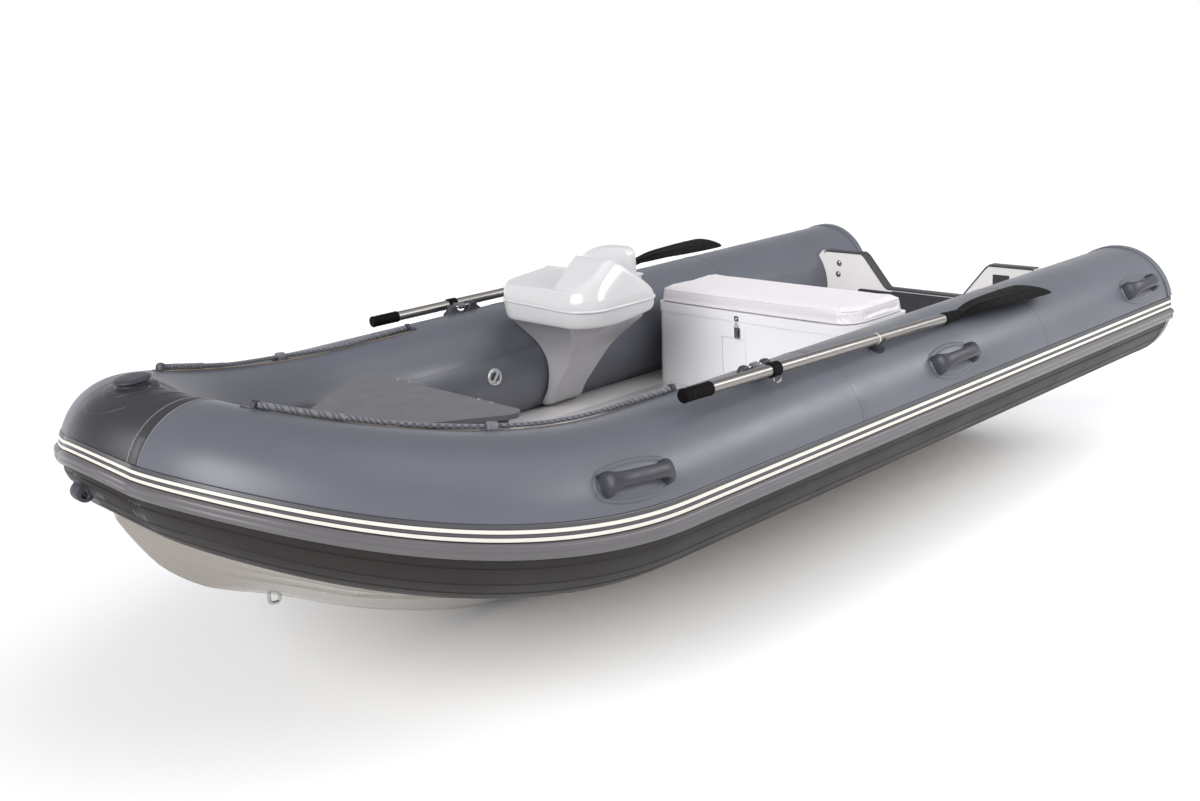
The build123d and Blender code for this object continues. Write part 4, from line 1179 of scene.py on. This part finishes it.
for word, side in (("port", 1), ("starboard", -1)):
    body = word + "_oar"
    GRIP_A, GRIP_B, BLADE_A, BLADE_B = [v + SLIDE[side] for v in (372.0, 264.0, -847.0, -1432.0)]
    sp = Soup()
    prof = [(GRIP_B, 17.6), (GRIP_B + 0.5, 19.6), (GRIP_B + 3, 20.0), (GRIP_B + 9, 20.0), (GRIP_B + 11, 18.8)]
    for k in range(4):
        a = GRIP_B + 14 + k * 19
        prof += [(a, 18.9), (a + 4, 19.5), (a + 9, 19.8), (a + 14, 19.4)]
    prof += [(GRIP_A - 12, 19.0), (GRIP_A - 9, 20.0), (GRIP_A - 4, 19.9), (GRIP_A - 1, 18.0), (GRIP_A, 14.0), (GRIP_A, 8.0), (GRIP_A - 1.5, 5.0), (GRIP_A - 1.5, 0.05)]
    sp.loops([[place_oar((a, r * math.cos(2 * math.pi * k / 36), r * math.sin(2 * math.pi * k / 36)), side) for k in range(36)] for a, r in prof], True)
    ob = sp.build(body + "_handgrip", "oar_black", body=body, slot="oar_black", sharp=45)
    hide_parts(word + "_oar_grip")
    sp = Soup()
    L = BLADE_A - BLADE_B
    prof = [(BLADE_A, 17.4), (BLADE_A - 0.6, 19.4), (BLADE_A - 4, 20.0), (BLADE_A - 16, 20.0), (BLADE_A - 20, 18.9), (BLADE_A - 50, 18.6), (BLADE_A - 80, 17.0), (BLADE_A - 110, 13.0), (BLADE_A - 150, 6.0), (BLADE_A - 165, 1.0)]
    sp.loops([[place_oar((a, r * math.cos(2 * math.pi * k / 28), r * math.sin(2 * math.pi * k / 28)), side) for k in range(28)] for a, r in prof], True)
    roll = rad(-5.0 if side > 0 else 10.0)
    wid = [(0.0, 10), (0.06, 16), (0.15, 28), (0.30, 46), (0.50, 60), (0.70, 69), (0.86, 72), (0.95, 70), (0.985, 60), (1.0, 46)]
    top, bot = [], []
    for i in range(49):
        f = i / 48
        w = spline_rows(wid, f)[0]
        x = BLADE_A - 36 - f * (L - 36)
        rt, rb = [], []
        for j in range(17):
            s = -1 + 2 * j / 16
            y = w * s
            rim = 2.2 if abs(s) > 0.92 else 1.5
            camber = 3.0 * (1 - s * s) * sstep(f * 3)
            thick = rim if abs(s) < 0.999 else 0.9
            for lst, sg in ((rt, 1), (rb, -1)):
                z = 14.0 * sstep(f * 2.4) + camber - 1.5 + sg * thick + 5.0 * math.exp(-(y / 9.0) ** 2) * (1 - f) * sg
                yy = y * math.cos(roll) - z * math.sin(roll)
                zz = y * math.sin(roll) + z * math.cos(roll)
                lst.append(place_oar((x, yy, zz), side))
        top.append(rt)
        bot.append(rb)
    rings = [t + list(reversed(b)) for t, b in zip(top, bot)]
    sp.loops(rings, True)
    ob = sp.build(body + "_paddle", "oar_black", body=body, slot="oar_black", sharp=45)
    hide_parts(word + "_oar_blade")
    # rowlock: pad, two rounded ears and the pin between them
    (px, oy, oz), _ = OAR[side]
    sp = Soup()
    t0 = t_of_x(px)
    phi = math.degrees(math.atan2(766.0 - TUBE_Z, 752.0 - TUBE_Y))
    patch_into(sp, t0, phi, side, slot_shape(66, 28), 3.6, rings=5, n=56, mi=0)
    for e in (-46.0, 46.0):
        rr = []
        for z, hx, hy, r in ((765.0, 34, 15.5, 8), (768.0, 33, 15.0, 8), (774.0, 29, 14, 8), (oz - 10, 23, 12.5, 8), (oz - 2, 19, 12, 8), (oz + 4, 16, 11.5, 8), (oz + 8, 12.5, 10, 7), (oz + 10.2, 8.5, 7.5, 5), (oz + 11, 4, 3.5, 2)):
            rr.append([Vector((px + e + x, side * 752.0 + y, z)) for x, y in rounded_rect(-hx, hx, -hy, hy, r, r, 4)])
        sp.loops(rr, True, 0)
        lathe(sp, Vector((px + e + math.copysign(9.0, e), side * 752.0, oz)), Vector((math.copysign(1.0, e), 0, 0)), [(0, 6.6), (2.4, 6.6), (3.4, 5.4), (3.6, 0.05)], 18, mi=1)
    lathe(sp, Vector((px - 46.0, side * 752.0, oz)), Vector((1, 0, 0)), [(0, 4.9), (92, 4.9)], 18, mi=1)
    ob = sp.build(word + "_rowlock_ears", ["fitting_rubber", "steel"], slot="fitting_rubber", sharp=45)
    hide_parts(word + "_rowlock")
    # ring of the split pin hanging from the collar
    sp = Soup()
    c = place_oar((4.0, 12.0, -30.0), side)
    lathe(sp, place_oar((4.0, 3.0, -24.0), side), Vector((0.1, side * 0.25, -1.0)), [(0, 3.2), (9, 3.2), (10, 2.0), (10, 0.05)], 14)
    loop = [c + Vector((11 * math.cos(2 * math.pi * k / 26) - 3, side * 6 * math.sin(2 * math.pi * k / 26) + side * 8, -2 + 4.5 * math.sin(2 * math.pi * k / 26))) for k in range(26)]
    tube_into(sp, loop, 1.5, 8, closed=True)
    line = [c + Vector((-9 - 24 * f, side * (6 - 8 * f), 1 + 3 * math.sin(math.pi * f))) for f in [k / 12 for k in range(13)]]
    tube_into(sp, line, 1.4, 8)
    sp.build(word + "_split_pin", "steel", body=body, slot="steel", sharp=50)
    # white ring at the rest
    sp = Soup()
    cx = -504.0 + 20.0
    sp.loops([[place_oar((cx + a, r * math.cos(2 * math.pi * k / 30), r * math.sin(2 * math.pi * k / 30)), side) for k in range(30)] for a, r in ((-1.6, 17.0), (-1.4, 18.0), (1.4, 18.0), (1.6, 17.0))], True)
    sp.build(word + "_oar_ring", "stripe_white", body=body, slot="oar_aluminium", sharp=45)

# ------------------------------------------------------------------ valves
sp = Soup()
for side in (1, -1):
    o, d, w, nrm = local(t_of_x(300.0), 176.0, side, 0.0)
    lathe(sp, o, nrm, [(-4, 31), (2.0, 31), (4.6, 29.6), (6.0, 27.5), (6.3, 25.5), (5.2, 23.6), (2.2, 22.4), (1.6, 20.0), (1.4, 0.05)], 48, 0)
    lathe(sp, o + nrm * 1.5, nrm, [(0, 16.5), (3.6, 16.2), (5.4, 14.5), (5.8, 10), (6.0, 0.05)], 40, 1)
    a = (d * 0.62 + w * 0.78).normalized()
    b = nrm.cross(a)
    rr = []
    for q, hw, h in ((-23, 4.0, 4), (-21, 5.0, 8), (0, 6.0, 9.6), (21, 5.0, 8), (23, 4.0, 4)):
        rr.append([o + a * q + b * hw + nrm * 2, o + a * q + b * hw * 0.8 + nrm * h, o + a * q - b * hw * 0.8 + nrm * h, o + a * q - b * hw + nrm * 2])
    sp.loops(rr, True, 0)
ob = sp.build("air_valves", ["valve_plastic", "dark_pad"], slot="valve_plastic", sharp=40)
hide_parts("inflation_valves")

# ------------------------------------------------------------------ seat latch
sp = Soup()
x0 = -500.6
sp.loops([[Vector((x, y, z)) for y, z in rounded_rect(-66, -38, 600, 640, 5, 5, 4)] for x in (x0, x0 + 2.6, x0 + 3.4)], True)
lever = [(x0 + 3.2, 636, 8), (x0 + 6, 634, 8), (x0 + 8.5, 624, 8.5), (x0 + 8.0, 612, 7.5), (x0 + 9.5, 605, 6.5), (x0 + 11, 602, 5.5)]
sp.loops([[Vector((x - 1.1, -52 - w, z)), Vector((x + 1.1, -52 - w, z)), Vector((x + 1.1, -52 + w, z)), Vector((x - 1.1, -52 + w, z))] for x, z, w in lever], True)
tube_into(sp, [Vector((x0 + 7, -52 + s, 638 + 20 * math.sin(math.pi * k / 14))) if 0 < k < 14 else Vector((x0 + 7, -52 + s, 632)) for k in range(15) for s in [-9 + 18 * k / 14]], 1.7, 8)
lathe(sp, Vector((x0 + 2, -52, 619)), Vector((0, 1, 0)), [(-12, 2.6), (12, 2.6)], 12)
ob = sp.build("seat_catch", "steel", slot="steel", sharp=40)
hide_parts("seat_latch")
sp = Soup()
sp.loops([[Vector((x, y, z)) for y, z in rounded_rect(-62, -42, 664, 684, 4, 4, 4)] for x in (-498.6, -496.6, -495.8)], True)
lathe(sp, Vector((-496.4, -52, 673)), Vector((1, 0, 0)), [(0, 4.5), (4, 4.5), (5.2, 3.2), (5.4, 0.05)], 14)
sp.build("seat_catch_hook", "steel", body="seat_top", slot="steel", sharp=40)

# pressed channel beads on the front of the seat box
sp = Soup()
for y in (-134.0, -16.0):
    tube_into(sp, [Vector((-500.6, y, z)) for z in range(404, 656, 8)], 2.4, 10)
sp.build("seat_channel_beads", "white_gelcoat", slot="white_gelcoat")

# ------------------------------------------------------------------ transom trim, panel and bolts
TX = -1630.0
line = []
for y, z in ((-512, 702), (-505, 711), (-312, 711), (-296, 700), (-190, 575), (-176, 568), (176, 568), (190, 575), (296, 700), (312, 711), (505, 711), (512, 702)):
    line.append((y, z))
sp = Soup()
rr = []
m = len(line)
for i, (y, z) in enumerate(line):
    a, b = line[max(i - 1, 0)], line[min(i + 1, m - 1)]
    dy, dz = b[0] - a[0], b[1] - a[1]
    ln = math.hypot(dy, dz)
    ny, nz = -dz / ln, dy / ln
    if nz < 0:
        ny, nz = -ny, -nz
    rr.append([Vector((TX + 2.5, y - ny * 4, z - nz * 4)), Vector((TX + 2.5, y, z)), Vector((TX - 4, y + ny * 3, z + nz * 3)), Vector((TX - 41, y + ny * 3, z + nz * 3)),
               Vector((TX - 47.5, y, z)), Vector((TX - 47.5, y - ny * 4, z - nz * 4)), Vector((TX - 45.5, y - ny * 4, z - nz * 4)), Vector((TX - 45, y, z)), Vector((TX, y, z)), Vector((TX + 0.3, y - ny * 4, z - nz * 4))])
sp.loops(rr, True)
sp.build("transom_edge_trim", "dark_pad", slot="dark_pad", sharp=40)
sp = Soup()
prof = [(-300, 400), (-300, 552), (-170, 552), (170, 552), (300, 552), (300, 400)]
sp.loops([[Vector((x, y, z)) for y, z in rounded_rect(-330, 330, 396, 556, 14, 14, 6)] for x in (TX - 0.2, TX + 3.0, TX + 4.0)], True, 0)
for i in range(-12, 13):
    for j in range(6):
        y, z = i * 25 + (12 if j % 2 else 0), 410 + j * 25
        if abs(y) < 318:
            a = Vector((TX + 3.8, y, z))
            sg = 1 if (i + j) % 2 else -1
            p, q = Vector((0, 8, 5 * sg)), Vector((0, -1.8 * sg, 3))
            sp.loops([[a - p * 1.0 - q, a + p - q, a + p + q, a - p + q], [a - p * 0.8 - q * 0.5 + Vector((1.3, 0, 0)), a + p * 0.8 - q * 0.5 + Vector((1.3, 0, 0)), a + p * 0.8 + q * 0.5 + Vector((1.3, 0, 0)), a - p * 0.8 + q * 0.5 + Vector((1.3, 0, 0))]], True, 0)
sp.build("transom_inner_plate", "dark_pad", slot="dark_pad", sharp=40)
sp = Soup()
for y, z in ((-430, 660), (-436, 610), (430, 660), (436, 610), (-380, 520), (380, 520)):
    lathe(sp, Vector((TX, y, z)), Vector((1, 0, 0)), [(0, 13), (1.6, 13), (1.8, 9.0), (5.5, 8.6), (6.6, 6.5), (6.8, 0.05)], 20)
    lathe(sp, Vector((TX - 45, y, z)), Vector((-1, 0, 0)), [(0, 13), (1.6, 13), (1.8, 9.0), (5.5, 8.6), (6.6, 6.5), (6.8, 0.05)], 20)
sp.build("transom_bolts", "steel", slot="steel", sharp=35)
# blank plate on the knee
sp = Soup()
sp.loops([[Vector((x, y, z)) for y, z in rounded_rect(330, 404, 634, 676, 3, 3, 3)] for x in (TX - 0.1, TX + 0.9, TX + 1.1)], True)
sp.build("knee_plate", "dark_pad", slot="dark_pad", sharp=40)

# ------------------------------------------------------------------ floor moulding and non-slip pads
sp = Soup()
for x0, x1 in ((-470.0, 120.0), (150.0, 820.0)):
    sp.loops([[Vector((x, y, z)) for x, y in rounded_rect(x0 + q, x1 - q, -420 + q, 420 - q, 30, 30, 6)] for z, q in ((379.8, 0), (381.8, 0.6), (382.4, 2.5))], True)
sp.build("floor_tread", "deck_gelcoat", slot="deck_gelcoat", sharp=40)
# dark line along the floor's edges at the tubes: painted shadow of the gap under the tube bulge
sp = Soup()
for side in (1, -1):
    line = [Vector((x, side * (TUBE_Y - math.sqrt(TUBE_R ** 2 - (382.0 - TUBE_Z) ** 2)), 381.5)) for x in [-1600 + i * 40 for i in range(61)]]
    tube_into(sp, line, 3.0, 8)
sp.build("floor_edge_painted_shadow", "seam_shadow", slot="dark_pad")

# ------------------------------------------------------------------ floor and light
fl = bpy.data.meshes.new("studio_floor")
S = 40.0
fl.from_pydata([(-S, -S, -0.0005), (S, -S, -0.0005), (S, S, -0.0005), (-S, S, -0.0005)], [], [(0, 1, 2, 3)])
fm, nt, b = new_mat("studio_floor")
b.inputs["Base Color"].default_value = (0.99, 0.99, 0.985, 1)
b.inputs["Roughness"].default_value = 0.9
b.inputs["Specular IOR Level"].default_value = 0.0
fl.materials.append(fm)
floor = bpy.data.objects.new("studio_floor", fl)
scene.collection.objects.link(floor)

world = bpy.data.worlds.new("studio")
scene.world = world
world.use_nodes = True
wt = world.node_tree
bg = wt.nodes["Background"]
wc = wt.nodes.new("ShaderNodeTexCoord")
ws = wt.nodes.new("ShaderNodeSeparateXYZ")
wr = wt.nodes.new("ShaderNodeValToRGB")
wt.links.new(wc.outputs["Generated"], ws.inputs["Vector"])
wt.links.new(ws.outputs["Z"], wr.inputs["Fac"])
el = wr.color_ramp.elements
el[0].position, el[0].color = 0.13, (1.0, 1.0, 1.0, 1)
el[1].position, el[1].color = 0.40, (0.46, 0.465, 0.49, 1)
wt.links.new(wr.outputs["Color"], bg.inputs["Color"])
bg.inputs["Strength"].default_value = 1.0


def area(name, loc, target, size, power, size_y=None):
    ld = bpy.data.lights.new(name, "AREA")
    ld.shape = "RECTANGLE"
    ld.size = size
    ld.size_y = size_y or size
    ld.energy = power
    lo = bpy.data.objects.new(name, ld)
    scene.collection.objects.link(lo)
    lo.location = loc
    lo.rotation_euler = (Vector(target) - Vector(loc)).to_track_quat("-Z", "Y").to_euler()
    return lo


sun = bpy.data.lights.new("overhead", "SUN")
sun.energy = 0.50
sun.angle = rad(48)
so = bpy.data.objects.new("overhead", sun)
scene.collection.objects.link(so)
so.rotation_euler = (-Vector((-0.45, 0.50, 1.15))).to_track_quat("-Z", "Y").to_euler()
fill = bpy.data.lights.new("forward", "SUN")
fill.energy = 2.75
fill.angle = rad(42)
fo = bpy.data.objects.new("forward", fill)
scene.collection.objects.link(fo)
fo.rotation_euler = (-Vector((0.84, 0.16, 0.52))).to_track_quat("-Z", "Y").to_euler()
area("long_box", (-2.6, 4.2, 3.2), (-0.1, 0.6, 0.6), 5.2, 150, 1.3)
